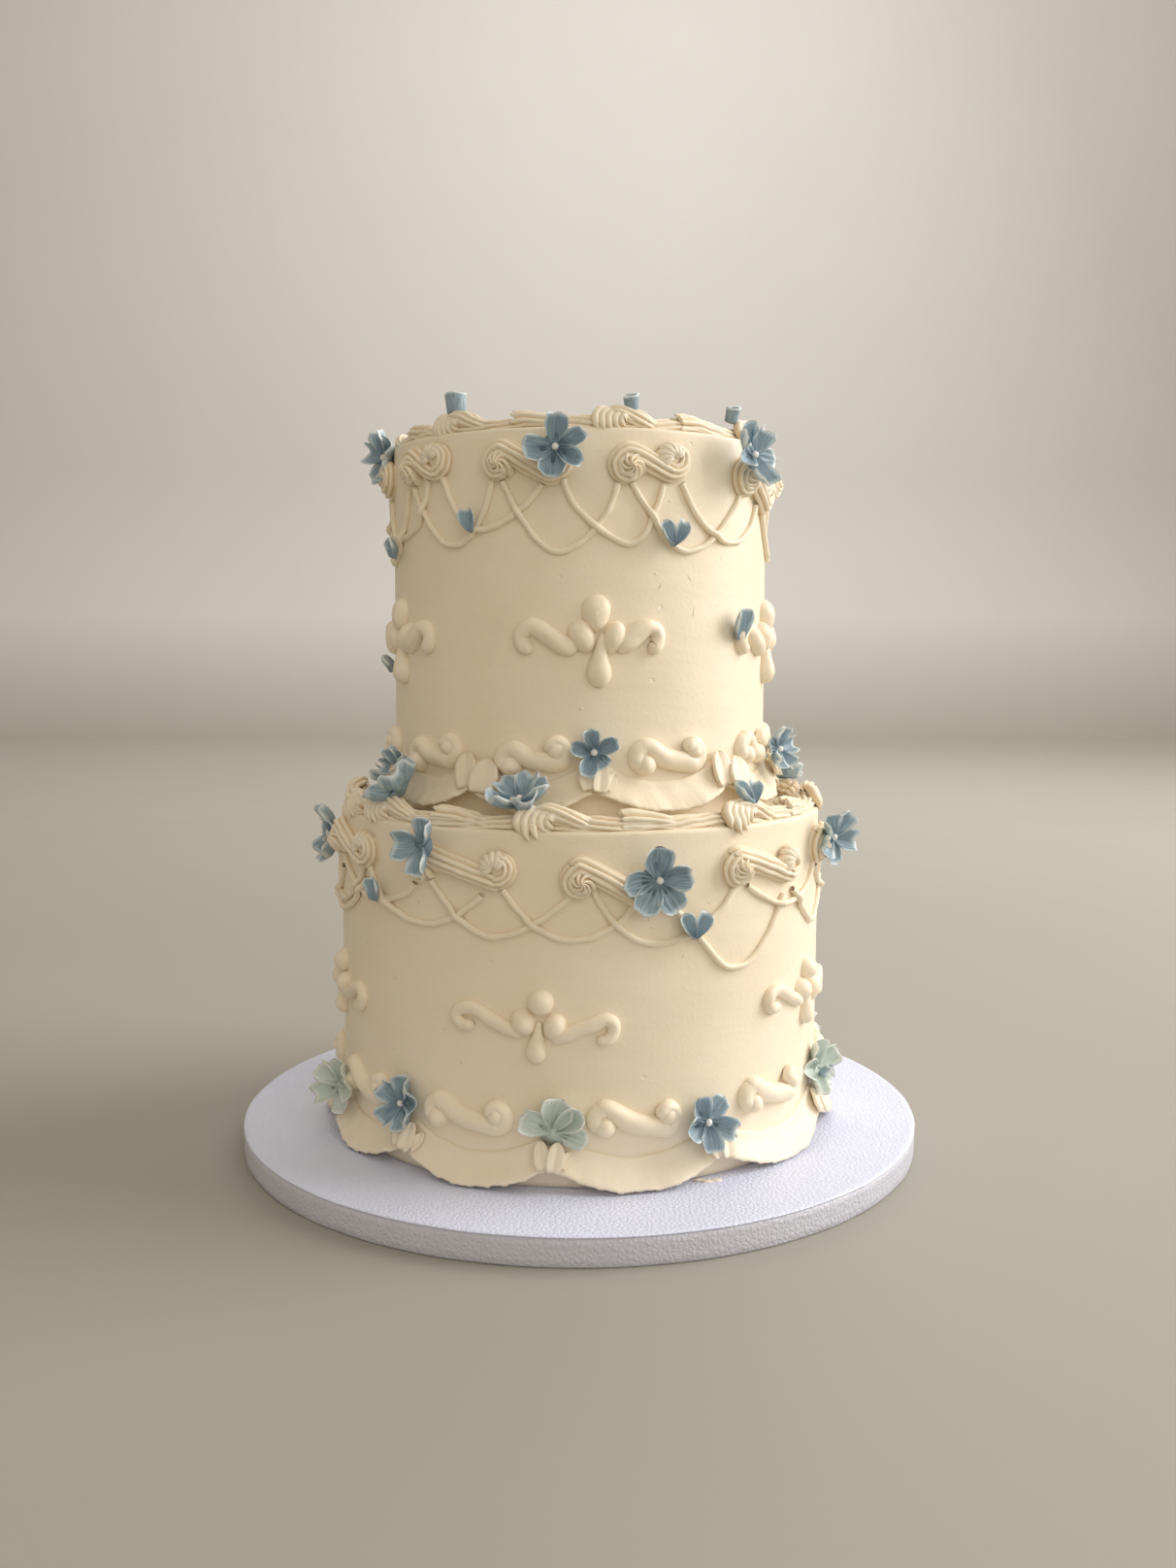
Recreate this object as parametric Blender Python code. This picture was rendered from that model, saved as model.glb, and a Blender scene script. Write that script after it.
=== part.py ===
"""A two-tier buttercream wedding cake on its foil-covered cake drum.

Units are metres, +Z is up, the front faces -Y and the origin is at the centre of the drum's
underside. A place on a tier is an angle in degrees from the front, positive to the right, and
a height in millimetres above the drum's top.
"""

import math
import random
from typing import NamedTuple

import bmesh
import bpy
from mathutils import Matrix, Vector
from mathutils.bvhtree import BVHTree
from mathutils.kdtree import KDTree

MM = 0.001
GAP = 0.3 * MM

DRUM_RADIUS = 152.4 * MM
DRUM_THICKNESS = 12.0 * MM
DRUM_EDGE = 0.8 * MM
DRUM_SIDES = 64

BOTTOM_RADIUS = 107.4 * MM
BOTTOM_HEIGHT = 140.3
TOP_RADIUS = 82.5 * MM
TOP_HEIGHT = 155.3
TIER_EDGE = 1.2 * MM
TIER_SIDES = 36
TIER_TRIANGLES = 4950

SINK = 1.2
STRING_HALF_WIDTH = 1.15
STRING_RISE = 2.0
STRING_STEPS = 4
STRING_STRIDE = 3
STRING_GUARD = 2.2
STRING_FREEDOM = 0.9
CREST_STEPS = 5
SWAG_ROSETTE_RADIUS = 8.0
SWAG_ROSETTE_RISE = 7.0
RIM_ROSETTE_RADIUS = 7.5
SCROLL_COIL = 4.0
SWAG_COIL = 5.4
SWAG_RISE = 6.0
RUFFLE_STEPS = 5
RUFFLE_INSET = 0.035
RUFFLE_RISE = 12.5
RUFFLE_SAG = 9.5
RUFFLE_FLARE = 9.0
ROPE_STEPS = 36
ROPE_INSET = 6.0
ROPE_HALF_WIDTH = 4.6
ROPE_RISE = 6.4
ROPE_SWELL = 0.22
ROPE_SWELL_REACH = 7.0
PEARL_RADIUS = 1.5
FLOWER_FOOT = 1.6
ROLLED_BUD_FOOT = 3.0

# A flower starts this far out and moves in by steps until it would touch.
SETTLE_START = 30 * MM
SETTLE_STEP = 0.25 * MM
SETTLE_STEPS = 160

SEED = 12


class Tier:
    """A round tier: its wall's radius and the heights of its two faces above the drum."""

    def __init__(self, radius, low, high, x=0.0):
        self.radius = radius
        self.low = low
        self.high = high
        self.x = x

    def point(self, angle, height, out=0.0):
        """The place at this angle and height, out millimetres proud of the wall."""
        turn = math.radians(angle)
        reach = self.radius + out * MM
        return Vector((
            self.x + reach * math.sin(turn),
            -reach * math.cos(turn),
            DRUM_THICKNESS + height * MM,
        ))

    def outward(self, angle):
        turn = math.radians(angle)
        return Vector((math.sin(turn), -math.cos(turn), 0.0))

    def degrees(self, along):
        """The angle that this many millimetres along the wall spans."""
        return math.degrees(along * MM / self.radius)


BOTTOM = Tier(BOTTOM_RADIUS, 0.3, BOTTOM_HEIGHT)
TOP = Tier(TOP_RADIUS, BOTTOM_HEIGHT + 0.3, BOTTOM_HEIGHT + TOP_HEIGHT, -0.2 * MM)

# Swags: angle and height of the left and of the right rosette, seen ones first.
TOP_SWAGS = [
    (-53.0, 282.6, -42.2, 285.0), (-20.0, 281.6, -6.4, 278.3), (11.7, 279.2, 24.9, 282.2),
    (50.1, 280.4, 66.4, 276.8), (-89.5, 281.0, -78.0, 279.0),
]
BOTTOM_SWAGS = [
    (-34.6, 124.5, -17.3, 126.2), (-0.6, 121.5, 15.0, 120.5), (32.7, 124.8, 49.5, 126.1),
    (69.0, 125.0, 83.5, 126.0), (-70.0, 128.0, -54.5, 128.5),
]
HIDDEN_SWAGS = 5
HIDDEN_SWAG_HALF = 6.6

# Drop strings that show: five places each, from end to end, the third one its lowest.
TOP_STRINGS = [
    ((-54.9, 275.1), (-48.4, 261.7), (-38.1, 250.1), (-28.5, 259.6), (-24.6, 275.4)),
    ((-41.4, 278.0), (-35.6, 262.3), (-27.1, 256.2), (-16.2, 263.9), (-10.3, 273.5)),
    ((-77.5, 272.0), (-73.3, 258.5), (-62.2, 255.8), (-52.0, 261.5), (-47.5, 277.6)),
    ((-88.0, 270.0), (-82.0, 252.0), (-71.6, 246.2), (-62.1, 258.5), (-58.5, 275.0)),
    ((-21.4, 274.6), (-13.4, 255.1), (-4.2, 247.2), (6.8, 260.9), (10.0, 274.0)),
    ((-4.5, 275.0), (0.0, 262.5), (12.9, 250.1), (19.1, 258.3), (23.4, 274.0)),
    ((14.1, 274.1), (20.8, 260.1), (31.0, 247.0), (46.2, 261.9), (51.9, 272.6)),
    ((29.0, 275.0), (35.6, 260.4), (48.7, 252.2), (59.2, 261.3), (62.4, 269.7)),
]
BOTTOM_STRINGS = [
    ((-69.0, 121.0), (-62.0, 113.0), (-53.0, 107.5), (-42.0, 110.5), (-37.2, 117.2)),
    ((-53.6, 122.2), (-48.2, 109.7), (-34.6, 100.3), (-23.7, 109.9), (-20.6, 114.9)),
    ((-86.0, 118.0), (-79.0, 105.0), (-70.0, 102.0), (-60.0, 110.0), (-55.5, 121.0)),
    ((-32.6, 118.4), (-25.6, 105.0), (-16.3, 98.4), (-5.4, 110.0), (-2.1, 115.8)),
    ((-15.9, 117.3), (-9.3, 103.5), (-0.9, 98.5), (7.2, 104.1), (10.8, 111.3)),
    ((2.4, 119.2), (7.2, 104.6), (16.5, 95.8), (28.6, 104.4), (35.1, 117.3)),
    ((18.5, 112.0), (25.8, 97.8), (33.5, 83.2), (43.4, 91.3), (50.3, 109.6)),
    ((38.0, 116.0), (45.0, 109.0), (52.5, 105.4), (62.6, 109.9), (67.2, 119.4)),
    ((54.2, 111.0), (59.0, 102.7), (66.0, 93.9), (71.5, 97.9), (77.1, 110.7)),
]

# Angles of the plain piped ornaments at mid height.
TOP_ORNAMENTS = (-65.0, 4.5, 74.0, 146.0, 218.0)
BOTTOM_ORNAMENTS = (-73.0, -8.8, 63.0, 135.0, 211.0)

# Angles where the ruffle's swags meet, and the scrolls' coil centres between them.
TOP_JOINTS = (-64.0, -30.0, 3.8, 44.5, 80.0, 116.0, 152.0, 188.0, 224.0, 260.0)
BOTTOM_JOINTS = (-72.0, -39.0, -6.0, 30.0, 68.0, 104.7, 141.3, 178.0, 214.7, 251.3)
TOP_SCROLLS = [
    (-51.0, 166.0, -36.8, 170.0), (-17.8, 166.8, -5.2, 169.8), (17.8, 166.5, 33.2, 168.6),
    (56.0, 168.0, 68.5, 169.5), (-86.5, 167.0, -73.5, 169.5),
]
BOTTOM_SCROLLS = [
    (-31.4, 27.0, -17.4, 28.0), (4.8, 27.8, 18.4, 28.0), (39.8, 29.0, 54.0, 30.0),
    (-63.0, 28.5, -49.5, 29.0),
]

# Rim rope: angles of the rosettes and of the shell heads between them.
TOP_RIM_ROSETTES = (-41.6, 8.2, 58.0, 109.0, 161.0, 213.0, 265.0)
TOP_RIM_SHELLS = (-60.0, -17.0, 35.0, 84.0, 135.0, 187.0, 239.0)
BOTTOM_RIM_ROSETTES = (-53.0, -6.6, 38.4, 82.0, 127.0, 172.0, 217.0, 262.0)
BOTTOM_RIM_SHELLS = (-30.0, 12.5, 60.0, 104.0, 149.0, 194.0, 239.0, 284.0)


class Design(NamedTuple):
    """What is piped on a tier, and where."""

    swags: list
    strings: list
    hidden_drop: float
    ornaments: tuple
    ornament_height: float
    ornament_scale: float
    joints: tuple
    flowered: tuple
    ruffle_foot: float
    scrolls: list
    scroll_height: float
    rim_rosettes: tuple
    rim_shells: tuple
    rosette_inset: float
    rosette_lean: float


TOP_DESIGN = Design(
    TOP_SWAGS, TOP_STRINGS, 31.0, TOP_ORNAMENTS, 214.0, 1.0, TOP_JOINTS, TOP_JOINTS[::2], 147.0,
    TOP_SCROLLS, 167.5, TOP_RIM_ROSETTES, TOP_RIM_SHELLS, 5.0, 0.4,
)
BOTTOM_DESIGN = Design(
    BOTTOM_SWAGS, BOTTOM_STRINGS, 27.0, BOTTOM_ORNAMENTS, 64.0, 1.12, BOTTOM_JOINTS, BOTTOM_JOINTS, 2.5,
    BOTTOM_SCROLLS, 28.0, BOTTOM_RIM_ROSETTES, BOTTOM_RIM_SHELLS, 2.6, 0.9,
)


def clear_scene():
    for obj in list(bpy.data.objects):
        bpy.data.objects.remove(obj)


def material(name, color, roughness):
    made = bpy.data.materials.new(name)
    made.use_nodes = True
    shader = made.node_tree.nodes["Principled BSDF"]
    shader.inputs["Base Color"].default_value = (*color, 1.0)
    shader.inputs["Roughness"].default_value = roughness
    shader.inputs["Metallic"].default_value = 0.0
    return made


def add_object(name, mesh_data, finish, collection=None):
    obj = bpy.data.objects.new(name, mesh_data)
    obj.data.materials.append(finish)
    (collection or bpy.context.scene.collection).objects.link(obj)
    return obj


def rings_to_mesh(name, rings, closed=False):
    """A closed body from rings of points: quads between neighbours, and caps at both ends."""
    bm = bmesh.new()
    loops = [[bm.verts.new(point) for point in ring] for ring in rings]
    pairs = list(zip(loops, loops[1:] + loops[:1])) if closed else list(zip(loops, loops[1:]))
    for first, second in pairs:
        bridge(bm, first, second)
    if not closed:
        cap(bm, loops[0])
        cap(bm, loops[-1])
    bmesh.ops.recalc_face_normals(bm, faces=bm.faces)
    data = bpy.data.meshes.new(name)
    bm.to_mesh(data)
    bm.free()
    data.shade_smooth()
    return data


def bridge(bm, first, second):
    """Joins two rings, or a ring and a single point."""
    if len(second) == 1:
        first, second = second, first
    if len(first) == 1:
        for i, vert in enumerate(second):
            bm.faces.new((first[0], vert, second[(i + 1) % len(second)]))
        return
    for i in range(len(first)):
        j = (i + 1) % len(first)
        bm.faces.new((first[i], first[j], second[j], second[i]))


def cap(bm, ring):
    if len(ring) > 2:
        bm.faces.new(ring)


def smooth_curve(points, spans):
    """Catmull-Rom curve through the points, with this many steps between neighbours."""
    points = [Vector(point) for point in points]
    ends = [points[0] * 2 - points[1]] + points + [points[-1] * 2 - points[-2]]
    made = []
    for i in range(1, len(ends) - 2):
        before, start, stop, after = ends[i - 1:i + 3]
        for step in range(spans):
            t = step / spans
            made.append(0.5 * (
                2 * start + (stop - before) * t
                + (2 * before - 5 * start + 4 * stop - after) * t * t
                + (3 * start - before - 3 * stop + after) * t * t * t
            ))
    return made + [points[-1]]


def ridge(tier, path, profile):
    """Rings of a ridge along a wall path of (angle, height); profile(i) gives (side, out) pairs."""
    rings = []
    for i, (angle, height) in enumerate(path):
        before = tier.point(*path[max(i - 1, 0)])
        after = tier.point(*path[min(i + 1, len(path) - 1)])
        outward = tier.outward(angle)
        side = (after - before).normalized().cross(outward)
        centre = tier.point(angle, height)
        rings.append([centre + (side * a + outward * b) * MM for a, b in profile(i)])
    return rings


def dome_rings(centre, right, up, outward, size, rise, sides, ridged=0.0, twist=0.0, lean=0.0):
    """Rings of a dome of half sizes size, standing rise proud; ridged alternates its radius."""
    rings = []
    for share, level in ((1.0, -SINK), (0.74, 0.66 * rise)):
        ring = []
        for k in range(sides):
            turn = math.tau * k / sides + twist * (1 - share)
            reach = share * (1 - ridged * (k % 2))
            across = right * (size[0] * reach * math.cos(turn))
            along = up * (size[1] * reach * math.sin(turn))
            shift = up * (lean * (1 - share))
            ring.append(centre + (across + along + shift + outward * level) * MM)
        rings.append(ring)
    rings.append([centre + (outward * rise + up * lean) * MM])
    return rings


def wall_dome(tier, angle, height, size, rise, sides, tilt=0.0, **shape):
    """A dome on a tier's wall, turned by tilt degrees in the wall's plane."""
    outward = tier.outward(angle)
    right = Vector((0, 0, 1)).cross(outward)
    up = Vector((0, 0, 1))
    turn = math.radians(tilt)
    across = right * math.cos(turn) + up * math.sin(turn)
    along = up * math.cos(turn) - right * math.sin(turn)
    return dome_rings(tier.point(angle, height), across, along, outward, size, rise, sides, **shape)


def half_round(width, rise):
    """A rounded bead profile, sunk into the wall at its foot."""
    return ((-width, -SINK), (-0.62 * width, 0.86 * rise), (0.62 * width, 0.86 * rise), (width, -SINK))


def tier_body(tier):
    low = tier.low * MM + DRUM_THICKNESS
    high = tier.high * MM + DRUM_THICKNESS
    profile = ((tier.radius, low), (tier.radius, high - TIER_EDGE), (tier.radius - TIER_EDGE, high))
    return [round_ring(radius, level, TIER_SIDES, tier.x) for radius, level in profile]


def round_ring(radius, level, sides, x=0.0):
    """Points on a level circle, from the front round to the right."""
    turns = [math.tau * k / sides for k in range(sides)]
    return [Vector((x + radius * math.sin(turn), -radius * math.cos(turn), level)) for turn in turns]


def string_rings(tier, places):
    curve = smooth_curve([(a, h, 0) for a, h in places], STRING_STEPS)
    path = [(p[0], p[1]) for p in curve[::STRING_STRIDE]] + [places[-1]]
    profile = ((-STRING_HALF_WIDTH, -SINK), (0.0, STRING_RISE), (STRING_HALF_WIDTH, -SINK))
    return ridge(tier, path, lambda i: profile)


def swag_band(tier, left, left_height, right, right_height):
    """The star-piped band: over the top of the left rosette and under the right one."""
    path = [around(tier, left, left_height, SWAG_COIL, turn) for turn in (195, 115, 50)]
    path += [around(tier, right, right_height, SWAG_COIL, turn) for turn in (235, 300, 5)]
    widths = (2.2, 4.0, 4.8, 4.8, 4.0, 2.2)
    return ridge(tier, path, lambda i: half_round(widths[i], SWAG_RISE))


def around(tier, centre, height, coil, turn):
    """The (angle, height) on a circle of coil millimetres, turn degrees round from its right."""
    turn = math.radians(turn)
    return centre + tier.degrees(coil * math.cos(turn)), height + coil * math.sin(turn)


def scroll_band(tier, left, left_height, right, right_height, half=3.5, rise=5.2):
    """A plain-tip S scroll, from the left coil's far side over and round the right coil."""
    path = [around(tier, left, left_height, SCROLL_COIL, turn) for turn in (205, 125, 50)]
    path += [around(tier, right, right_height, SCROLL_COIL, turn) for turn in (230, 290, 355, 80)]
    return ridge(tier, path, lambda i: half_round(half, rise))


def scroll_ends(tier, left, left_height, right, right_height, rise=5.0):
    """The ball that closes each coil of an S scroll."""
    inset = tier.degrees(1.6)
    return [
        wall_dome(tier, left + inset, left_height - 4.2, (4.3, 4.0), rise, 6),
        wall_dome(tier, right - inset, right_height + 1.2, (4.0, 4.6), rise, 6),
    ]


def ornament(tier, angle, height, scale):
    """Three eggs and a teardrop between two plain scrolls."""
    def at(along, up):
        return (angle + tier.degrees(along * scale), height + up * scale)
    pieces = [
        wall_dome(tier, *at(0.4, 10.6), (5.2 * scale, 5.7 * scale), 5.0, 6),
        wall_dome(tier, *at(-5.6, 0.6), (4.6 * scale, 6.2 * scale), 4.8, 6, tilt=24),
        wall_dome(tier, *at(6.0, 0.6), (4.4 * scale, 6.0 * scale), 4.8, 6, tilt=-20),
    ]
    tail = [at(0.9, 1.5), at(0.5, -5.0), at(0.2, -9.5), at(0.0, -14.0), at(0.0, -17.6)]
    widths = (1.4, 2.6, 4.3, 4.5, 2.0)
    pieces.append(ridge(tier, tail, lambda i: half_round(widths[i] * scale, 4.8)))
    left = [(-23.5, -4.4), (-28.8, -2.0), (-27.6, 4.0), (-21.0, 3.6), (-13.5, -3.6), (-5.0, -4.4)]
    right = [(5.0, -4.8), (12.5, -1.6), (19.0, 4.2), (25.4, 3.4), (26.2, -2.4), (21.0, -4.2)]
    for places in (left, right):
        pieces.append(ridge(tier, [at(*place) for place in places], lambda i: half_round(2.8 * scale, 4.4)))
    return pieces


def ruffle(tier, start, stop, foot):
    """A petal-tip ruffle between two joints: high on the wall, its lower edge flaring out."""
    path = []
    flares = []
    for k in range(RUFFLE_STEPS + 1):
        share = RUFFLE_INSET + (1 - 2 * RUFFLE_INSET) * k / RUFFLE_STEPS
        sag = math.sin(math.pi * share) ** 0.8
        path.append((start + (stop - start) * share, foot + RUFFLE_RISE - RUFFLE_SAG * sag))
        flares.append(RUFFLE_FLARE * (0.5 + 0.5 * sag))

    # The side that ridge gives points down the wall here, so the upper edge comes first.
    def profile(i):
        return ((-6.5, -SINK), (3.0, 0.95 * flares[i]), (4.0, 0.8 * flares[i]), (-1.0, -SINK))
    return ridge(tier, path, profile)


def bow(tier, angle, foot):
    """The pleats that close a ruffle joint: two standing fans."""
    return [
        wall_dome(tier, angle - tier.degrees(2.6), foot + 13.0, (2.6, 6.6), 6.5, 6, tilt=-8, lean=-1.5),
        wall_dome(tier, angle + tier.degrees(2.8), foot + 12.0, (2.8, 6.2), 6.0, 6, tilt=14, lean=-1.5),
    ]


def rim_rope(tier, rosettes, shells):
    """The piped rope that lies round a tier's top edge, fattest at rosettes and shell heads."""
    rings = []
    for k in range(ROPE_STEPS):
        angle = 360.0 * k / ROPE_STEPS
        near = min(abs((angle - head + 180) % 360 - 180) for head in rosettes + shells)
        swell = 1.0 + ROPE_SWELL * math.exp(-(near / ROPE_SWELL_REACH) ** 2)
        half = ROPE_HALF_WIDTH * swell
        rise = ROPE_RISE * swell
        outward = tier.outward(angle)
        centre = tier.point(angle, tier.high, -ROPE_INSET)
        profile = ((half + 0.8, -SINK), (0.75 * half, 0.75 * rise), (-0.55 * half, rise), (-half, -SINK))
        rings.append([centre + (outward * a + Vector((0, 0, b))) * MM for a, b in profile])
    return rings


def rim_piece(tier, angle, size, rise, inset, lean, sides, ridged):
    """A rosette or shell head on the rim, leaning out over the edge."""
    outward = tier.outward(angle)
    up = (Vector((0, 0, 1)) + outward * lean).normalized()
    along = Vector((0, 0, 1)).cross(outward)
    across = up.cross(along)
    centre = tier.point(angle, tier.high + 0.5, -inset)
    return dome_rings(centre, along, across, up, size, rise, sides, ridged=ridged, twist=0.9)


def hidden_places(last, first, count):
    """Angles evenly between the last and the first seen place, round the back."""
    pitch = (first + 360.0 - last) / (count + 1)
    return [last + pitch * (k + 1) for k in range(count)]


def all_swags(seen, draw):
    made = list(seen)
    last = max((left + right) / 2 for left, _, right, _ in seen)
    first = min((left + right) / 2 for left, _, right, _ in seen)
    level = seen[0][1]
    for angle in hidden_places(last, first, HIDDEN_SWAGS):
        angle += draw.uniform(-1.5, 1.5)
        left = (angle - HIDDEN_SWAG_HALF, level + draw.uniform(-2, 2))
        right = (angle + HIDDEN_SWAG_HALF, level + draw.uniform(-2, 2))
        made.append((*left, *right))
    return made


def all_strings(seen, swags, depth, draw):
    """The strings that show, then one from each hidden rosette to the same one of the next swag."""
    made = list(seen)
    around = sorted(swags, key=lambda swag: (swag[0] + 95) % 360)
    for here, after in zip(around, around[1:] + around[:1]):
        for side in (0, 2):
            start = here[side]
            stop = after[side] + (360 if after[side] < start else 0)
            middle = (start + stop) / 2
            if -95 < middle < 75:
                continue
            top = here[side + 1] - 8.0
            low = here[1] - depth + draw.uniform(-3, 3)
            quarter = low + 0.3 * (top - low)
            span = stop - start
            made.append((
                (start, top), (start + 0.2 * span, quarter), (middle, low),
                (stop - 0.2 * span, quarter), (stop, top),
            ))
    return made


def spans(joints):
    """Each joint with the next one round the tier."""
    return list(zip(joints, joints[1:] + (joints[0] + 360,)))


def all_scrolls(seen, joints, level, draw):
    """The scrolls that show, then one between each pair of hidden joints."""
    made = list(seen)
    centres = [(left + right) / 2 for left, _, right, _ in seen]
    for start, stop in spans(joints):
        middle = (start + stop) / 2
        if min(abs((middle - centre + 180) % 360 - 180) for centre in centres) < 15:
            continue
        half = 6.8 + draw.uniform(-0.4, 0.4)
        made.append((middle - half, level + draw.uniform(-1, 1), middle + half, level + 1.5))
    return made


def piping(tier, design, draw):
    """Every piece piped on a tier, its strings and its rim rope, as lists of rings."""
    swags = all_swags(design.swags, draw)
    strings = all_strings(design.strings, swags, design.hidden_drop, draw)
    scrolls = all_scrolls(design.scrolls, design.joints, design.scroll_height, draw)
    pieces = []
    for swag in swags:
        pieces.append(swag_band(tier, *swag))
        for angle, height in (swag[:2], swag[2:]):
            size = (SWAG_ROSETTE_RADIUS * draw.uniform(0.94, 1.04), SWAG_ROSETTE_RADIUS)
            pieces.append(wall_dome(
                tier, angle, height, size, SWAG_ROSETTE_RISE, 8, ridged=0.12, twist=0.9, lean=-0.8
            ))
    for angle in design.ornaments:
        pieces += ornament(tier, angle, design.ornament_height, design.ornament_scale)
    for scroll in scrolls:
        pieces.append(scroll_band(tier, *scroll))
        pieces += scroll_ends(tier, *scroll)
    for start, stop in spans(design.joints):
        pieces.append(ruffle(tier, start, stop, design.ruffle_foot))
        fans = bow(tier, start, design.ruffle_foot)
        pieces += fans[:1] if start in design.flowered else fans
    for angle in design.rim_rosettes:
        pieces.append(rim_piece(
            tier, angle, (RIM_ROSETTE_RADIUS, 7.0), 8.5, design.rosette_inset, design.rosette_lean, 8, 0.12
        ))
    for angle in design.rim_shells:
        pieces.append(rim_piece(tier, angle, (6.5, 5.4), 9.8, 6.5, 0.0, 6, 0.0))
    strings = [string_rings(tier, places) for places in strings]
    return pieces, strings, rim_rope(tier, design.rim_rosettes, design.rim_shells)


def build_tier(name, tier, design, finish, draw):
    """The tier's body with its piping fused on."""
    body = add_object(name, rings_to_mesh(name, tier_body(tier)), finish)
    pieces, strings, rope = piping(tier, design, draw)
    meshes = [rings_to_mesh("rope", rope, closed=True)]
    meshes += [rings_to_mesh("piece", rings) for rings in pieces + strings]
    fuse(body, meshes, finish)
    thin_out(body, strings)
    return body


def fuse(body, meshes, finish):
    """Joins the meshes onto the body by one union on a collection of them."""
    group = bpy.data.collections.new(body.name + "_piping")
    bpy.context.scene.collection.children.link(group)
    for index, data in enumerate(meshes):
        add_object(f"{body.name}_piece_{index}", data, finish, group)
    union = body.modifiers.new("fuse", "BOOLEAN")
    union.operation = "UNION"
    union.operand_type = "COLLECTION"
    union.collection = group
    union.solver = "MANIFOLD"
    apply_modifiers(body)
    for obj in list(group.objects):
        bpy.data.objects.remove(obj)
    bpy.data.collections.remove(group)


def thin_out(obj, strings):
    """Collapses the slivers that fusing leaves, down to the tier's share, sparing the thin strings."""
    crests = [ring[1] for rings in strings for ring in rings]
    steps = [(a, b) for rings in strings for a, b in zip(rings, rings[1:])]
    for a, b in steps:
        crests += [a[1].lerp(b[1], share / CREST_STEPS) for share in range(1, CREST_STEPS)]
    tree = KDTree(len(crests))
    for index, point in enumerate(crests):
        tree.insert(point, index)
    tree.balance()
    group = obj.vertex_groups.new(name="free_to_collapse")
    for vert in obj.data.vertices:
        near = tree.find(vert.co)[2] < STRING_GUARD * MM
        group.add([vert.index], STRING_FREEDOM if near else 1.0, "REPLACE")
    count = sum(len(face.vertices) - 2 for face in obj.data.polygons)
    thin = obj.modifiers.new("thin_out", "DECIMATE")
    thin.ratio = min(1.0, TIER_TRIANGLES / count)
    thin.vertex_group = group.name
    apply_modifiers(obj)
    obj.vertex_groups.clear()


def apply_modifiers(obj):
    graph = bpy.context.evaluated_depsgraph_get()
    made = bpy.data.meshes.new_from_object(obj.evaluated_get(graph))
    obj.modifiers.clear()
    obj.data = made
    made.set_sharp_from_angle(angle=math.radians(50))


def cake_drum(finish):
    profile = (
        (DRUM_RADIUS - DRUM_EDGE, 0.0), (DRUM_RADIUS, DRUM_EDGE),
        (DRUM_RADIUS, DRUM_THICKNESS - DRUM_EDGE), (DRUM_RADIUS - DRUM_EDGE, DRUM_THICKNESS),
    )
    rings = [round_ring(radius, level, DRUM_SIDES) for radius, level in profile]
    drum = add_object("cake_drum", rings_to_mesh("cake_drum", rings), finish)
    drum.data.set_sharp_from_angle(angle=math.radians(40))
    return drum


def flower_rings(width, depth, petals, pearl, foot, draw):
    """A cupped flower facing +Z: foot, petal rim, petal middles and heart, in millimetres."""
    reach = width / 2
    foot = [polar(foot, math.tau * k / petals, 0.0) for k in range(petals)]
    rim = []
    middle = []
    for k in range(petals):
        start = math.tau * k / petals
        span = math.tau / petals
        longer = draw.uniform(0.93, 1.05) * reach
        lift = draw.uniform(-0.1, 0.2) * depth
        rim.append(polar(0.56 * reach, start, 0.55 * depth))
        rim.append(polar(0.93 * longer, start + 0.24 * span, 0.95 * depth - lift))
        rim.append(polar(1.02 * longer, start + 0.52 * span, 0.86 * depth))
        rim.append(polar(0.92 * longer, start + 0.80 * span, 0.95 * depth + lift))
        middle.append(polar(0.30 * reach, start, 0.62 * depth))
        middle.append(polar(0.52 * reach, start + 0.52 * span, 0.46 * depth))
    heart_level = 0.5 * depth
    if not pearl:
        return foot, rim, middle, [Vector((0, 0, heart_level))]
    return foot, rim, middle, [Vector((0, 0, heart_level + PEARL_RADIUS))]


def polar(radius, turn, level):
    return Vector((radius * math.cos(turn), radius * math.sin(turn), level))


def flower_mesh(name, width, depth, petals, pearl, foot, draw):
    foot, rim, middle, heart = flower_rings(width, depth, petals, pearl, foot, draw)
    bm = bmesh.new()
    foot = [bm.verts.new(point * MM) for point in foot]
    rim = [bm.verts.new(point * MM) for point in rim]
    middle = [bm.verts.new(point * MM) for point in middle]
    heart = [bm.verts.new(point * MM) for point in heart]
    cap(bm, foot)
    for k in range(petals):
        petal = [rim[(4 * k + j) % len(rim)] for j in range(5)]
        back = (foot[k], foot[(k + 1) % petals])
        fan(bm, back, petal, 2)
        face = (middle[2 * k], middle[2 * k + 1], middle[(2 * k + 2) % len(middle)])
        for low, high, count in ((0, 1, 1), (1, 2, 3)):
            fan(bm, face[low:high + 1], petal[low:low + count + 1], 1 if low == 0 else 2)
    bridge(bm, heart, middle)
    bmesh.ops.recalc_face_normals(bm, faces=bm.faces)
    data = bpy.data.meshes.new(name)
    bm.to_mesh(data)
    bm.free()
    data.shade_smooth()
    return data


def fan(bm, inner, outer, turn):
    """Triangles from a pair of points to a chain: the first up to step turn, then the second."""
    for j in range(len(outer) - 1):
        bm.faces.new((inner[0] if j < turn else inner[1], outer[j], outer[j + 1]))
    bm.faces.new((inner[0], inner[1], outer[turn]))


def facing(direction, roll):
    """A rotation that turns +Z to this direction, after a roll in degrees."""
    turn = direction.to_track_quat("Z", "Y").to_matrix().to_4x4()
    return turn @ Matrix.Rotation(math.radians(roll), 4, "Z")


def tree_of(obj):
    bm = bmesh.new()
    bm.from_mesh(obj.data)
    bm.transform(obj.matrix_world)
    bmesh.ops.triangulate(bm, faces=bm.faces)
    tree = BVHTree.FromBMesh(bm)
    bm.free()
    return tree


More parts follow.
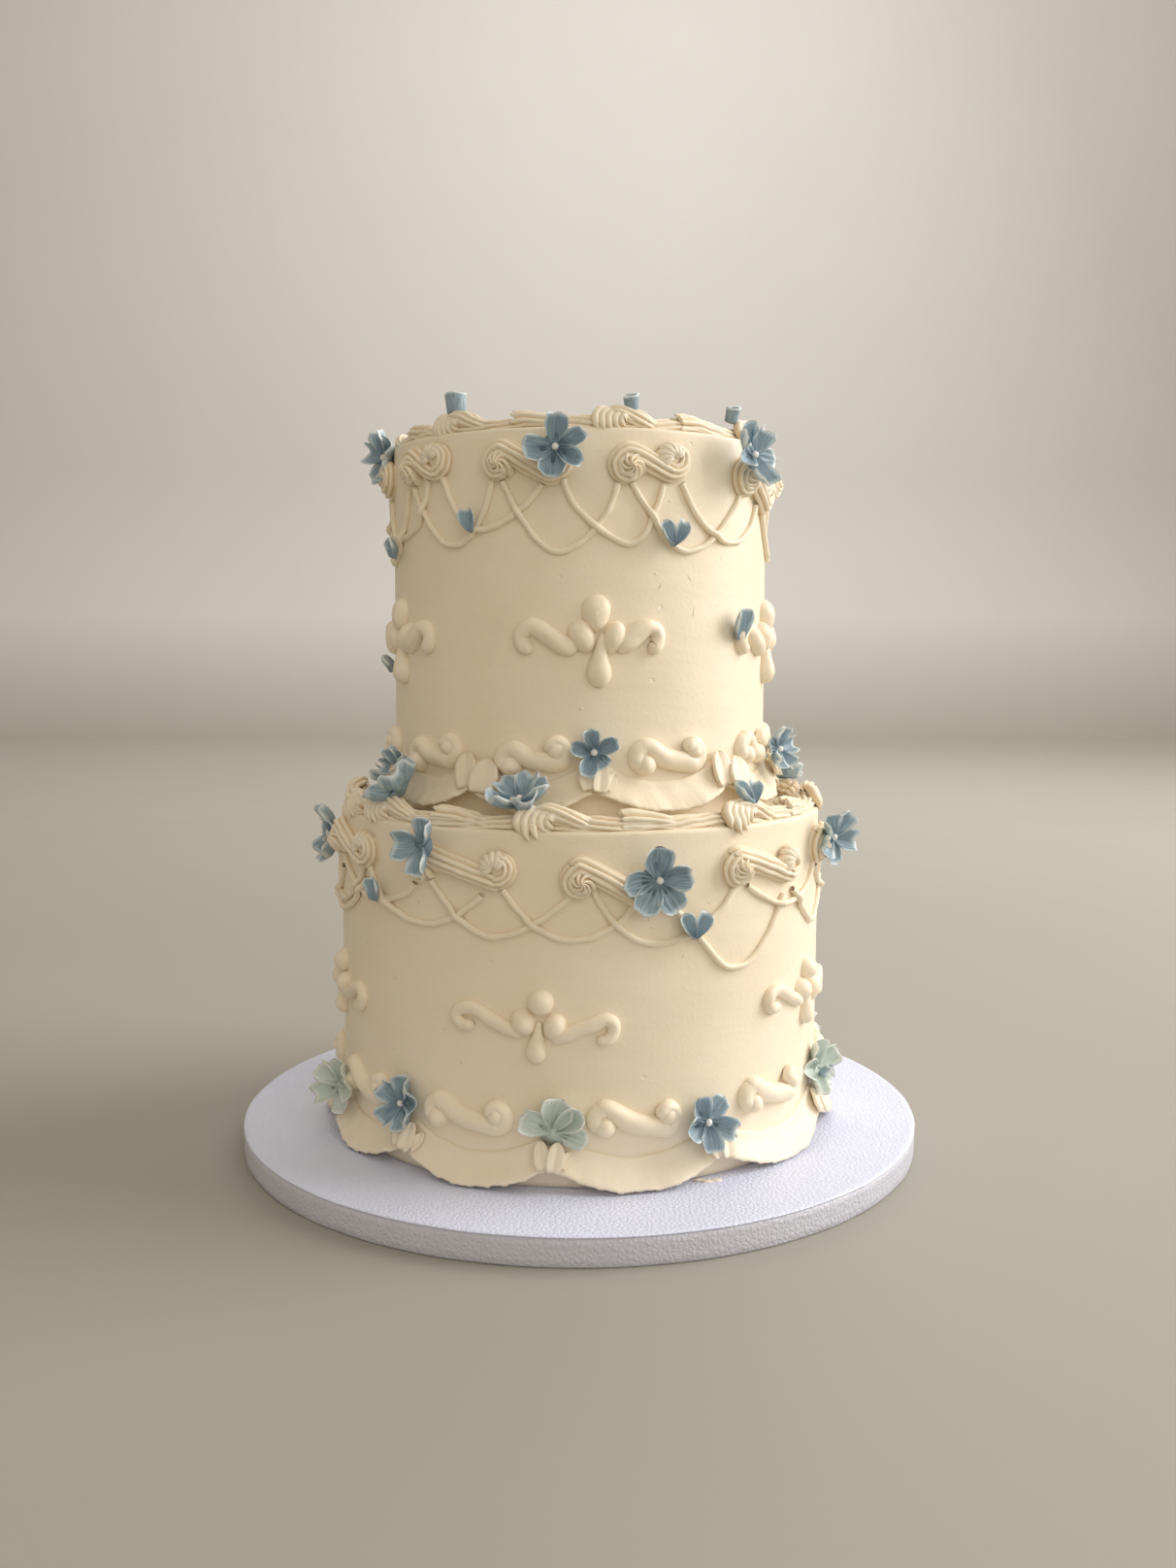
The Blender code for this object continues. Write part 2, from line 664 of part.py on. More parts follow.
def settle(obj, start, inward, turn, trees):
    """Moves the flower inward from start until it would touch what it sits on, less the gap."""
    place = start
    for _ in range(SETTLE_STEPS):
        following = place + inward * SETTLE_STEP
        if touches(obj, following, turn, trees) or touches(obj, following + inward * GAP, turn, trees):
            break
        place = following
    obj.matrix_world = Matrix.Translation(place) @ turn


def touches(obj, place, turn, trees):
    obj.matrix_world = Matrix.Translation(place) @ turn
    own = tree_of(obj)
    return any(tree.overlap(own) for tree in trees)


class Flowers:
    """Adds flowers and buds, each settled on what is there already."""

    def __init__(self, trees, finishes, draw):
        self.trees = trees
        self.finishes = finishes
        self.draw = draw

    def add(self, name, color, target, inward, face, width, depth, petals=5, roll=0.0, pearl=True,
            foot=FLOWER_FOOT):
        data = flower_mesh(name, width, depth, petals, pearl, foot, self.draw)
        obj = add_object(name, data, self.finishes[color])
        start = target - inward * SETTLE_START
        settle(obj, start, inward, facing(face.normalized(), roll), self.trees)
        self.trees.append(tree_of(obj))
        return obj

    def on_wall(self, name, color, tier, angle, height, width, depth, side=0.0, tip=0.0, **shape):
        """A flower on a wall, facing out, turned side degrees to the right and tip degrees up."""
        outward = tier.outward(angle)
        right = Vector((0, 0, 1)).cross(outward)
        face = outward + right * math.tan(math.radians(side)) + Vector((0, 0, math.tan(math.radians(tip))))
        return self.add(name, color, tier.point(angle, height), -outward, face, width, depth, **shape)

    def on_top(self, name, color, tier, angle, inset, width, depth, lean=0.0, side=0.0, **shape):
        """A flower on a tier's top face, leaning out by lean degrees and to the right by side."""
        outward = tier.outward(angle)
        right = Vector((0, 0, 1)).cross(outward)
        up = Vector((0, 0, 1))
        face = up + outward * math.tan(math.radians(lean)) + right * math.tan(math.radians(side))
        return self.add(name, color, tier.point(angle, tier.high, -inset), -up, face, width, depth, **shape)


def add_large_flowers(flowers):
    """The big flowers near each tier's top edge: angle, height, width, turn and tip."""
    top = ((-84.0, 292.5, 26.0, 30, 8), (-6.3, 285.8, 25.0, 4, 6), (50.4, 287.0, 26.0, -6, 10),
           (131.0, 287.0, 24.0, 0, 6), (-157.0, 287.5, 24.0, -6, 8))
    for k, (angle, height, width, side, tip) in enumerate(top):
        flowers.on_wall(f"top_large_flower_{k + 1}", "blue_petals", TOP, angle, height, width, 7.5,
                        side=side, tip=tip, roll=18 + 31 * k)
    bottom = ((-90.0, 125.4, 27.0, 22, 0, 5), (-32.5, 132.0, 22.0, -8, 10, 3), (14.0, 122.6, 28.5, 0, -6, 5),
              (71.0, 129.4, 25.0, -26, 0, 5), (141.0, 131.0, 25.0, 5, 5, 5), (-146.0, 131.0, 24.0, -8, 0, 5))
    for k, (angle, height, width, side, tip, petals) in enumerate(bottom):
        flowers.on_wall(f"bottom_large_flower_{k + 1}", "blue_petals", BOTTOM, angle, height, width, 7.5,
                        side=side, tip=tip, petals=petals, roll=-12 + 29 * k, pearl=petals == 5)


def add_border_flowers(flowers):
    """Flowers where the ruffles meet: angle, height, width and turn, blue and pale by turns below."""
    top = ((-62.0, 160.0, 18.0, 10), (3.8, 168.0, 19.5, 0), (74.0, 166.7, 20.0, -20),
           (152.0, 168.0, 20.0, 0), (224.0, 168.0, 20.0, 0))
    for k, (angle, height, width, side) in enumerate(top):
        flowers.on_wall(f"top_border_flower_{k + 1}", "blue_petals", TOP, angle, height, width, 6.5,
                        side=side, tip=6, roll=9 + 40 * k)
    seen = [(-66.5, 22.0, 25.0, 26), (-40.8, 25.6, 25.0, 0), (-5.1, 27.0, 26.0, -4), (27.2, 22.6, 24.0, 0),
            (71.0, 27.8, 25.0, -26)]
    hidden = [(angle, 27.5, 23.0, 0) for angle in BOTTOM_JOINTS[len(seen):]]
    for k, (angle, height, width, side) in enumerate(seen + hidden):
        color = "blue_petals" if k % 2 else "pale_petals"
        flowers.on_wall(f"bottom_border_flower_{k + 1}", color, BOTTOM, angle, height, width, 7.0,
                        side=side, tip=8, roll=22 + 37 * k, pearl=bool(k % 2))


def add_buds(flowers):
    """Small rolled and folded buds on the strings, on the bare wall and at the border."""
    strings = ((TOP, -30.4, 257.9, 9.0), (TOP, -66.2, 250.2, 8.5), (TOP, 25.0, 252.7, 12.0),
               (TOP, 118.0, 256.0, 9.0), (TOP, -128.0, 258.0, 9.0),
               (BOTTOM, -48.4, 110.7, 9.5), (BOTTOM, 23.4, 101.5, 13.0),
               (BOTTOM, 108.0, 104.0, 10.0), (BOTTOM, -118.0, 106.0, 9.0))
    for k, (tier, angle, height, width) in enumerate(strings):
        flowers.on_wall(f"string_bud_{k + 1}", "blue_petals", tier, angle, height, width, 5.0,
                        tip=25, petals=3, roll=30 + 55 * k, pearl=False)
    walls = ((TOP, 50.6, 220.0, 14.0), (TOP, -81.0, 203.0, 9.0), (TOP, 166.0, 212.0, 9.0),
             (BOTTOM, 68.8, 26.5, 6.5))
    for k, (tier, angle, height, width) in enumerate(walls):
        flowers.on_wall(f"wall_bud_{k + 1}", "blue_petals", tier, angle, height, width, 5.0,
                        petals=4, roll=20 + 33 * k, pearl=False)


def add_rim_flowers(flowers):
    """Rolled buds stood on the top rim, and the flowers and bud on the ledge between the tiers."""
    rim = ((-42.0, 7.5, -8.0, 10.5, 7.0), (15.2, 5.5, 20.0, 7.5, 5.5), (54.0, 5.5, 20.0, 6.5, 5.5),
           (122.0, 8.0, 0.0, 9.5, 8.0), (-140.0, 7.0, 10.0, 9.5, 8.0))
    for k, (angle, inset, lean, width, depth) in enumerate(rim):
        flowers.on_top(f"rim_bud_{k + 1}", "blue_petals", TOP, angle, inset, width, depth, lean=lean,
                       side=-12, petals=3, roll=15 + 48 * k, pearl=False, foot=ROLLED_BUD_FOOT)
    ledge = ((-48.4, 9.5, 27.0, 36, -24), (-14.2, 12.5, 23.0, 48, -5), (105.0, 11.0, 22.0, 45, 12),
             (166.0, 12.0, 21.0, 45, -10), (-113.0, 11.0, 22.0, 42, 8))
    for k, (angle, inset, width, lean, side) in enumerate(ledge):
        flowers.on_top(f"ledge_flower_{k + 1}", "blue_petals", BOTTOM, angle, inset, width, 8.0,
                       lean=lean, side=side, roll=10 + 35 * k)
    flowers.on_top("ledge_bud", "blue_petals", BOTTOM, 41.0, 6.5, 13.0, 6.0, lean=30, petals=4,
                   roll=12, pearl=False)


def build():
    clear_scene()
    cream = material("buttercream", (0.90, 0.82, 0.62), 0.5)
    finishes = {
        "blue_petals": material("blue_petals", (0.20, 0.32, 0.42), 0.5),
        "pale_petals": material("pale_petals", (0.62, 0.70, 0.64), 0.5),
    }
    foil = material("board_foil", (0.78, 0.77, 0.82), 0.35)
    draw = random.Random(SEED)
    drum = cake_drum(foil)
    bottom = build_tier("bottom_tier", BOTTOM, BOTTOM_DESIGN, cream, draw)
    top = build_tier("top_tier", TOP, TOP_DESIGN, cream, draw)
    bpy.context.view_layer.update()
    flowers = Flowers([tree_of(drum), tree_of(bottom), tree_of(top)], finishes, draw)
    add_large_flowers(flowers)
    add_border_flowers(flowers)
    add_rim_flowers(flowers)
    add_buds(flowers)


build()
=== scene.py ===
"""Dresses the tiered cake: piped buttercream, petal flowers with pearls, and the foiled drum.

Shapes are worked out in millimetres in the row frame and scaled to metres when a mesh is made.
A place on a tier is an angle in degrees from the front, positive to the right, and a height in
millimetres above the drum's top.
"""

import math
import random

import bpy
import numpy as np
from mathutils import Matrix, Vector


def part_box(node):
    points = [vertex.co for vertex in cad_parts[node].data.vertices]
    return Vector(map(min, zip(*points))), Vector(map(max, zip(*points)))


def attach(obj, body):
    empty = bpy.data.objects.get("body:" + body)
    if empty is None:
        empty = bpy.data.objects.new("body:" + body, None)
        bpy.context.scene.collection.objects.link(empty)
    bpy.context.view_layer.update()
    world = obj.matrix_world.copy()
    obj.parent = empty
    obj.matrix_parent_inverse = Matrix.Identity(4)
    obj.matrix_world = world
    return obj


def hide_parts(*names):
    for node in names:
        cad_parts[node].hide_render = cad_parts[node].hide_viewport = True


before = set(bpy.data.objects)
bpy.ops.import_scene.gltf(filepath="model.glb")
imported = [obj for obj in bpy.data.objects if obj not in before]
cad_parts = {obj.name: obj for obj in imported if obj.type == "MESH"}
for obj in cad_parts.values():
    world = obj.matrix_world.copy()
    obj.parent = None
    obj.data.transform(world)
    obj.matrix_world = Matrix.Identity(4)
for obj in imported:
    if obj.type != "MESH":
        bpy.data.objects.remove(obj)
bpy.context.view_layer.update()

MM = 0.001
SEED = 12
DRUM_RADIUS = 152.4
DRUM_THICKNESS = 12.0

# A piece's section runs from below the wall on one side, over the crest, to below the other.
SECTION_OVERLAP = 32.0
ROUND_SAMPLES = 15
RIDGE_SAMPLES = 6
STAR_DEPTH = 0.34
STRING_RADIUS = 1.28

EDGE_RADIUS = 1.6
PEARL_RADIUS = 1.5

# How far, in millimetres, hand work strays from its true shape.
PIPED_UNEVEN = 0.14
PETAL_UNEVEN = 0.10

# Between these angles the strings are those of the tables; the others are worked out.
SEEN_FROM = -95
SEEN_TO = 75


class Tier:
    """A round tier: its wall's radius and the heights of its two faces above the drum."""

    def __init__(self, node, radius, low, high, x):
        self.node = node
        self.radius = radius
        self.low = low
        self.high = high
        self.x = x

    def points(self, angles, heights, out=0.0):
        turns = np.radians(angles)
        reach = self.radius + out
        levels = DRUM_THICKNESS + np.asarray(heights, float) + 0 * turns
        return np.stack([self.x + reach * np.sin(turns), -reach * np.cos(turns), levels], axis=-1)

    def outward(self, angles):
        turns = np.radians(angles)
        return np.stack([np.sin(turns), -np.cos(turns), 0 * turns], axis=-1)

    def degrees(self, along):
        return np.degrees(along / self.radius)


BOTTOM = Tier("bottom_tier", 107.4, 0.3, 140.3, 0.0)
TOP = Tier("top_tier", 82.5, 140.6, 295.6, -0.2)

# Swags: angle and height of the left and of the right rosette, seen ones first.
TOP_SWAGS = [
    (-54.6, 282.6, -43.8, 285.8), (-21.4, 281.6, -7.6, 282.4), (13.2, 280.2, 25.2, 284.0),
    (54.0, 278.6, 68.0, 276.0), (-89.5, 284.5, -78.5, 283.5),
]
BOTTOM_SWAGS = [
    (-34.6, 124.5, -17.3, 126.2), (0.4, 121.2, 15.0, 117.8), (35.2, 123.0, 51.4, 123.4),
    (69.0, 125.0, 83.5, 126.0), (-70.0, 128.0, -54.5, 128.5),
]
HIDDEN_SWAGS = 5
HIDDEN_SWAG_HALF = 6.6

# Drop strings that show: five places each, from end to end, the third one its lowest.
TOP_STRINGS = [
    ((-54.9, 275.1), (-48.4, 261.7), (-38.1, 250.1), (-28.5, 259.6), (-24.6, 275.4)),
    ((-41.4, 278.0), (-35.6, 262.3), (-27.1, 256.2), (-16.2, 263.9), (-10.3, 273.5)),
    ((-77.5, 272.0), (-73.3, 258.5), (-62.2, 255.8), (-52.0, 261.5), (-47.5, 277.6)),
    ((-88.0, 270.0), (-82.0, 252.0), (-71.6, 246.2), (-62.1, 258.5), (-58.5, 275.0)),
    ((-21.4, 274.6), (-13.4, 255.1), (-4.2, 247.2), (6.8, 260.9), (10.0, 274.0)),
    ((-4.5, 275.0), (0.0, 262.5), (12.9, 250.1), (19.1, 258.3), (23.4, 274.0)),
    ((14.1, 274.1), (20.8, 260.1), (31.0, 247.0), (46.2, 261.9), (51.9, 272.6)),
    ((29.0, 275.0), (35.6, 260.4), (48.7, 252.2), (59.2, 261.3), (62.4, 269.7)),
]
BOTTOM_STRINGS = [
    ((-69.0, 121.0), (-62.0, 113.0), (-53.0, 107.5), (-42.0, 110.5), (-37.2, 117.2)),
    ((-53.6, 122.2), (-48.2, 109.7), (-34.6, 100.3), (-23.7, 109.9), (-20.6, 114.9)),
    ((-86.0, 118.0), (-79.0, 105.0), (-70.0, 102.0), (-60.0, 110.0), (-55.5, 121.0)),
    ((-32.6, 118.4), (-25.6, 105.0), (-16.3, 98.4), (-5.4, 110.0), (-2.1, 115.8)),
    ((-15.9, 117.3), (-9.3, 103.5), (-0.9, 98.5), (7.2, 104.1), (10.8, 111.3)),
    ((2.4, 119.2), (7.2, 104.6), (16.5, 95.8), (28.6, 104.4), (35.1, 117.3)),
    ((18.5, 112.0), (25.8, 97.8), (33.5, 83.2), (43.4, 91.3), (50.3, 109.6)),
    ((38.0, 116.0), (45.0, 109.0), (52.5, 105.4), (62.6, 109.9), (67.2, 119.4)),
    ((54.2, 111.0), (59.0, 102.7), (66.0, 93.9), (71.5, 97.9), (77.1, 110.7)),
]

# Angles of the ornaments on the smooth wall.
TOP_ORNAMENTS = (-65.0, 4.5, 74.0, 146.0, 218.0)
BOTTOM_ORNAMENTS = (-73.0, -8.8, 63.0, 135.0, 211.0)

# An ornament in mm from its middle: eggs as along, up, half width, half height, tilt and
# taper; strokes (left arm, right arm, drop) as places along and up, then half widths.
TOP_ORNAMENT = {
    "eggs": (
        (-0.1, 9.5, 5.5, 7.4, 0, 0.22), (-5.6, 0.5, 5.0, 7.0, 24, 0.15), (6.9, 0.0, 4.4, 6.6, -18, 0.12),
    ),
    "strokes": (
        (((-25.3, -2.4), (-28.0, -3.8), (-29.9, 0.3), (-26.9, 4.1), (-22.6, 3.5), (-18.2, 0.5),
          (-13.4, -2.7), (-7.4, -5.1)),
         (3.0, 2.9, 3.1, 3.3, 3.6, 3.9, 4.1, 3.0)),
        (((7.7, -5.1), (12.0, -1.9), (16.3, 1.9), (20.1, 4.0), (23.9, 3.0), (25.0, -0.3),
          (23.4, -3.5), (20.7, -3.0)),
         (2.8, 3.9, 4.0, 3.6, 3.1, 3.0, 3.1, 2.8)),
        (((2.4, 1.8), (1.8, -3.0), (1.3, -7.5), (1.1, -12.0), (1.0, -15.5), (0.9, -19.5)),
         (0.9, 2.2, 3.4, 4.7, 4.8, 3.6)),
    ),
}
BOTTOM_ORNAMENT = {
    "eggs": (
        (1.3, 9.9, 5.2, 5.0, 0, 0.04), (-5.4, 1.8, 4.9, 5.5, 24, 0.06), (6.8, 0.6, 4.4, 5.3, -20, 0.06),
    ),
    "strokes": (
        (((-26.0, 0.4), (-28.2, -0.9), (-31.2, -0.4), (-33.3, 2.1), (-31.9, 5.2), (-27.6, 6.3),
          (-22.8, 4.9), (-17.9, 2.1), (-11.6, -0.8), (-5.5, -3.0)),
         (2.4, 2.6, 2.6, 2.6, 2.6, 2.6, 2.7, 2.8, 2.8, 2.0)),
        (((5.0, -3.8), (11.5, -2.5), (17.4, 0.1), (22.3, 2.1), (26.9, 3.5), (29.6, 1.2),
          (29.0, -2.5), (25.8, -4.7), (22.8, -3.8)),
         (2.4, 2.9, 3.0, 2.9, 2.6, 2.6, 2.6, 2.5, 2.3)),
        (((0.7, 2.4), (0.4, -1.7), (0.1, -5.0), (-0.2, -8.1), (-0.4, -11.0), (-0.6, -14.0)),
         (1.0, 1.9, 3.0, 4.0, 4.2, 3.4)),
    ),
}

# Angles where the ruffle's ribbons meet.
TOP_JOINTS = (-64.0, -30.0, 3.8, 44.5, 80.0, 116.0, 152.0, 188.0, 224.0, 260.0)
BOTTOM_JOINTS = (-72.0, -39.0, -6.0, 30.0, 68.0, 104.7, 141.3, 178.0, 214.7, 251.3)

# Scrolls that show: angle and height of the left and of the right coil.
TOP_SCROLLS = [
    (-53.4, 165.6, -39.2, 169.6), (-19.5, 165.6, -6.3, 169.6), (17.8, 166.5, 33.2, 168.6),
    (56.0, 168.0, 68.5, 169.5), (-86.5, 167.0, -73.5, 169.5),
]
BOTTOM_SCROLLS = [
    (-31.4, 27.0, -17.4, 28.0), (4.8, 27.8, 18.4, 28.0), (39.8, 29.0, 54.0, 30.0),
    (-63.0, 28.5, -49.5, 29.0),
]

# Rim rope: angles of the rosettes and of the shell heads between them.
TOP_RIM_ROSETTES = (-41.6, 8.2, 58.0, 109.0, 161.0, 213.0, 265.0)
TOP_RIM_SHELLS = (-60.0, -15.0, 35.0, 84.0, 135.0, 187.0, 239.0)
BOTTOM_RIM_ROSETTES = (-63.0, -51.6, -9.4, 36.8, 82.0, 127.0, 172.0, 217.0, 262.0)
BOTTOM_RIM_SHELLS = (-30.0, 12.5, 60.0, 104.0, 149.0, 194.0, 239.0, 284.0)

# The rosettes whose ridges run down over the edge.
DRIPPING = (-9.4, 36.8)

# Marks in the smooth icing: angle, height, half width, half height in millimetres, tilt.
TOP_MARKS = (
    (21.5, 239.3, 0.8, 0.5, 0), (22.8, 234.7, 1.4, 0.3, 60), (32.3, 237.9, 1.8, 0.3, -50),
    (33.9, 225.0, 2.2, 0.3, 75), (0.4, 186.3, 0.9, 0.5, 20), (7.3, 221.8, 0.7, 0.5, 0),
    (25.5, 268.0, 0.6, 0.6, 0), (-34.0, 200.0, 1.6, 0.3, 30),
)
BOTTOM_MARKS = (
    (10.7, 107.2, 1.5, 0.5, 20), (11.8, 102.1, 1.1, 0.6, -30), (14.5, 106.8, 1.8, 0.5, 60),
    (15.1, 103.0, 1.0, 0.6, 0), (10.3, 93.9, 0.8, 0.5, 0), (11.6, 139.0, 1.6, 0.5, 10),
    (18.7, 71.7, 0.8, 0.6, 0), (22.0, 90.6, 1.3, 0.4, 45), (22.8, 77.5, 1.0, 0.5, -20),
    (29.9, 71.9, 0.7, 0.7, 0), (3.0, 2.0, 3.2, 0.6, 0), (-30.0, 60.0, 1.4, 0.3, 25),
)


class Body:
    """Gathers grids of points, in millimetres, that become one mesh object."""

    def __init__(self, name):
        self.name = name
        self.points = []
        self.faces = []
        self.looks = []
        self.tones = []
        self.count = 0

    def grid(self, points, around=False, caps=False, look=0, tone=None):
        """Quads between neighbours of a (rows, columns, 3) grid; around closes each row."""
        if faces_inward(points):
            points = points[:, ::-1]
            tone = None if tone is None else tone[:, ::-1]
        rows, columns = points.shape[:2]
        index = np.arange(rows * columns).reshape(rows, columns) + self.count
        ends = [index[0][::-1].tolist(), index[-1].tolist()]
        if around:
            index = np.concatenate([index, index[:, :1]], axis=1)
        corners = (index[:-1, :-1], index[:-1, 1:], index[1:, 1:], index[1:, :-1])
        quads = np.stack(corners, axis=-1).reshape(-1, 4).tolist()
        if caps:
            quads += ends
        self.faces += quads
        self.looks += [look] * len(quads)
        self.points.append(points.reshape(-1, 3))
        blank = np.zeros((rows, columns, 3))
        self.tones.append((blank if tone is None else tone).reshape(-1, 3))
        self.count += rows * columns

    def make(self, finishes, slot, nodes, uneven=0.0):
        """The mesh object, which rides on the cake's body and stands for these CAD nodes."""
        points = np.concatenate(self.points)
        if uneven:
            points = points + wobble(points, 5.0, uneven)
        data = bpy.data.meshes.new(self.name)
        data.from_pydata((points * MM).tolist(), [], self.faces)
        data.shade_smooth()
        for finish in finishes:
            data.materials.append(finish)
        data.polygons.foreach_set("material_index", self.looks)
        # The petal attribute holds the petals' streak and border places; on the icing its first value is
        # the amount of painted shade.
        tones = data.attributes.new("petal", "FLOAT_VECTOR", "POINT")
        tones.data.foreach_set("vector", np.concatenate(self.tones).ravel())
        made = bpy.data.objects.new(self.name, data)
        bpy.context.scene.collection.objects.link(made)
        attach(made, "root")
        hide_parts(*nodes)
        return made


def faces_inward(points):
    """Whether a grid's quads mostly face the middle of their own rows."""
    across = points[:-1, 1:] - points[:-1, :-1]
    ahead = points[1:, :-1] - points[:-1, :-1]
    from_middle = points[:-1, :-1] - points[:-1].mean(axis=1, keepdims=True)
    return (np.cross(across, ahead) * from_middle).sum() < 0


def wobble(points, size, amount):
    """A smooth push of every point, as hand work has: waves about size millimetres long."""
    draw = np.random.default_rng(SEED)
    push = np.zeros_like(points)
    waves = 7
    for _ in range(waves):
        way = draw.normal(size=3)
        way *= math.tau / (size * draw.uniform(0.7, 2.2)) / np.linalg.norm(way)
        push += np.sin(points @ way + draw.uniform(0, math.tau))[:, None] * draw.normal(size=3)
    return push * amount / math.sqrt(waves)


def smooth_curve(places, spans):
    """Catmull-Rom curve through the rows of places, with this many steps between neighbours."""
    places = np.asarray(places, float)
    ends = np.vstack([2 * places[0] - places[1], places, 2 * places[-1] - places[-2]])
    steps = np.arange(spans)[:, None] / spans
    made = []
    for before, start, stop, after in zip(ends, ends[1:], ends[2:], ends[3:]):
        made.append(0.5 * (
            2 * start + (stop - before) * steps
            + (2 * before - 5 * start + 4 * stop - after) * steps ** 2
            + (3 * start - before - 3 * stop + after) * steps ** 3
        ))
    return np.vstack(made + [places[-1:]])


def around(tier, centre, height, coil, turn):
    """The (angle, height) on a circle of coil millimetres, turn degrees round from its right."""
    turn = math.radians(turn)
    return centre + tier.degrees(coil * math.cos(turn)), height + coil * math.sin(turn)


def lengths(points):
    """How far along the curve each of its points is."""
    return np.concatenate([[0.0], np.cumsum(np.linalg.norm(np.diff(points, axis=0), axis=1))])


def sweep(body, tier, path, section, lift=0.0, around=False, star=False, shade_feet=False):
    """Carries sections, (side, out) pairs for each ring, along a wall path of (angle, height)."""
    centre = tier.points(path[:, 0], path[:, 1], lift)
    carry(body, centre, tier.outward(path[:, 0]), section, around, star, shade_feet=shade_feet)


def carry(body, centre, outward, section, around=False, star=False, spikes=None, shade_feet=False):
    """Carries sections along any curve; spikes pushes points back along it by so many millimetres.

    A star's grooves get painted shade, and a ridge with shaded feet gets painted shade along both its feet.
    """
    along = np.gradient(centre, axis=0)
    along /= np.linalg.norm(along, axis=1)[:, None] + 1e-9
    side = np.cross(outward, along)
    side /= np.linalg.norm(side, axis=1)[:, None] + 1e-9
    points = centre[:, None] + side[:, None] * section[..., :1]
    points = points + outward[:, None] * section[..., 1:]
    if spikes is not None:
        points = points - along[:, None] * spikes[..., None]
    reach = np.linalg.norm(section, axis=-1)
    # Painted shade: the deeper a point sits in a star's grooves, the more it is darkened; a ridge with
    # shaded feet is darkened along both feet instead.
    painted_shade_amount = np.clip((1 - reach / reach.max(axis=1, keepdims=True)) / STAR_DEPTH, 0, 1)
    if shade_feet:
        feet = np.abs(np.linspace(-1, 1, section.shape[1]))
        painted_shade_amount = np.tile(0.9 * np.clip((feet - 0.30) / 0.35, 0, 1), (len(section), 1))
    body.grid(points, around=around, tone=painted_crevice_shade(painted_shade_amount) if star or shade_feet else None)


def painted_crevice_shade(painted_shade_amount):
    """The attribute the icing reads for painted shade: how deep in a groove or near a ridge's foot a point
    is, from 0 to 1.
    """
    return np.stack([painted_shade_amount, 0 * painted_shade_amount, 0 * painted_shade_amount], axis=-1)


def round_section(widths, rise, samples=ROUND_SAMPLES):
    """A plain tip's section: rounded over the crest, turning in again where it meets the wall."""
    turns = np.radians(np.linspace(-SECTION_OVERLAP, 180 + SECTION_OVERLAP, samples))
    widths = np.asarray(widths)[:, None]
    return np.stack([widths * np.cos(turns), widths * rise * np.sin(turns)], axis=-1)


def star_section(widths, rise, ridges, turn, depth=STAR_DEPTH):
    """A star tip's section: rounded ridges with narrow grooves, turned by turn at each ring."""
    samples = int(ridges * RIDGE_SAMPLES * (180 + 2 * SECTION_OVERLAP) / 360)
    turns = np.radians(np.linspace(-SECTION_OVERLAP, 180 + SECTION_OVERLAP, samples))
    crest = np.abs(np.cos(0.5 * ridges * (turns[None] - np.asarray(turn)[:, None]))) ** 0.75
    reach = np.asarray(widths)[:, None] * (1 - depth + depth * crest)
    return np.stack([reach * np.cos(turns), reach * rise * np.sin(turns)], axis=-1)


def rounded_ends(widths, distances):
    """Narrows a tube's widths to round off both its ends."""
    made = widths.copy()
    for gone in (distances, distances[-1] - distances):
        share = np.clip(gone / np.maximum(widths, 0.1), 0, 1)
        made = np.minimum(made, widths * np.sqrt(np.clip(1 - (1 - share) ** 2, 0.0004, 1)))
    return made


def spread(values, count):
    """These values, evenly spaced, read smoothly at count places."""
    places = np.linspace(0, len(values) - 1, count)
    fine = smooth_curve(np.asarray(values, float)[:, None], 12)[:, 0]
    return np.interp(places, np.linspace(0, len(values) - 1, len(fine)), fine)


def dome(body, place, right, up, out, size, rise, ridges=0, twist=0.0, depth=0.1, peak=0.0,
         samples=28, rows=11, egg=0.0):
    """A dome on a wall or a rim; ridges that swirl by twist make it a rosette."""
    if ridges:
        samples = ridges * RIDGE_SAMPLES
    turns = np.linspace(0, math.tau, samples, endpoint=False)
    crest = np.abs(np.cos(0.5 * ridges * turns)) ** 0.75 if ridges else np.ones(samples)
    grid = []
    tones = []
    for k in range(rows + 1):
        fall = 0.5 * math.pi * k / rows * 1.12
        share = math.sin(min(fall, 0.5 * math.pi)) + max(0.0, fall - 0.5 * math.pi) * 0.1
        level = rise * math.cos(fall)
        groove = depth * math.sin(math.pi * min(1.0, share) ** 0.8 * 0.62)
        reach = share * (1 - 1.1 * depth * (1 - crest)) if ridges else share + 0 * crest
        swirl = turns + twist * (1 - share)
        taper = 1 + egg * np.sin(swirl)
        across = size[0] * reach * taper * np.cos(swirl)
        along = size[1] * reach * np.sin(swirl)
        height = level - rise * groove * (1 - crest) * 1.6 + peak * max(0.0, 1 - 3 * share)
        grid.append(place + np.outer(across, right) + np.outer(along, up) + np.outer(height, out))
        # Painted shade: the grooves between a rosette's ridges are marked for darkening.
        tones.append((1 - crest) * min(1.0, 3 * share))
    body.grid(np.array(grid), around=True, caps=True, tone=painted_crevice_shade(np.array(tones)))


def on_wall(tier, angle, height, tilt=0.0):
    """A place on the wall with its right, up and outward directions, turned by tilt degrees."""
    out = tier.outward(np.array([angle]))[0]
    flat = np.cross((0, 0, 1), out)
    turn = math.radians(tilt)
    right = flat * math.cos(turn) + np.array((0, 0, 1)) * math.sin(turn)
    up = np.array((0, 0, 1)) * math.cos(turn) - flat * math.sin(turn)
    return tier.points(np.array([angle]), np.array([height]))[0], right, up, out


def hidden_places(last, first, count):
    """Angles evenly between the last and the first seen place, round the back."""
    pitch = (first + 360.0 - last) / (count + 1)
    return [last + pitch * (k + 1) for k in range(count)]


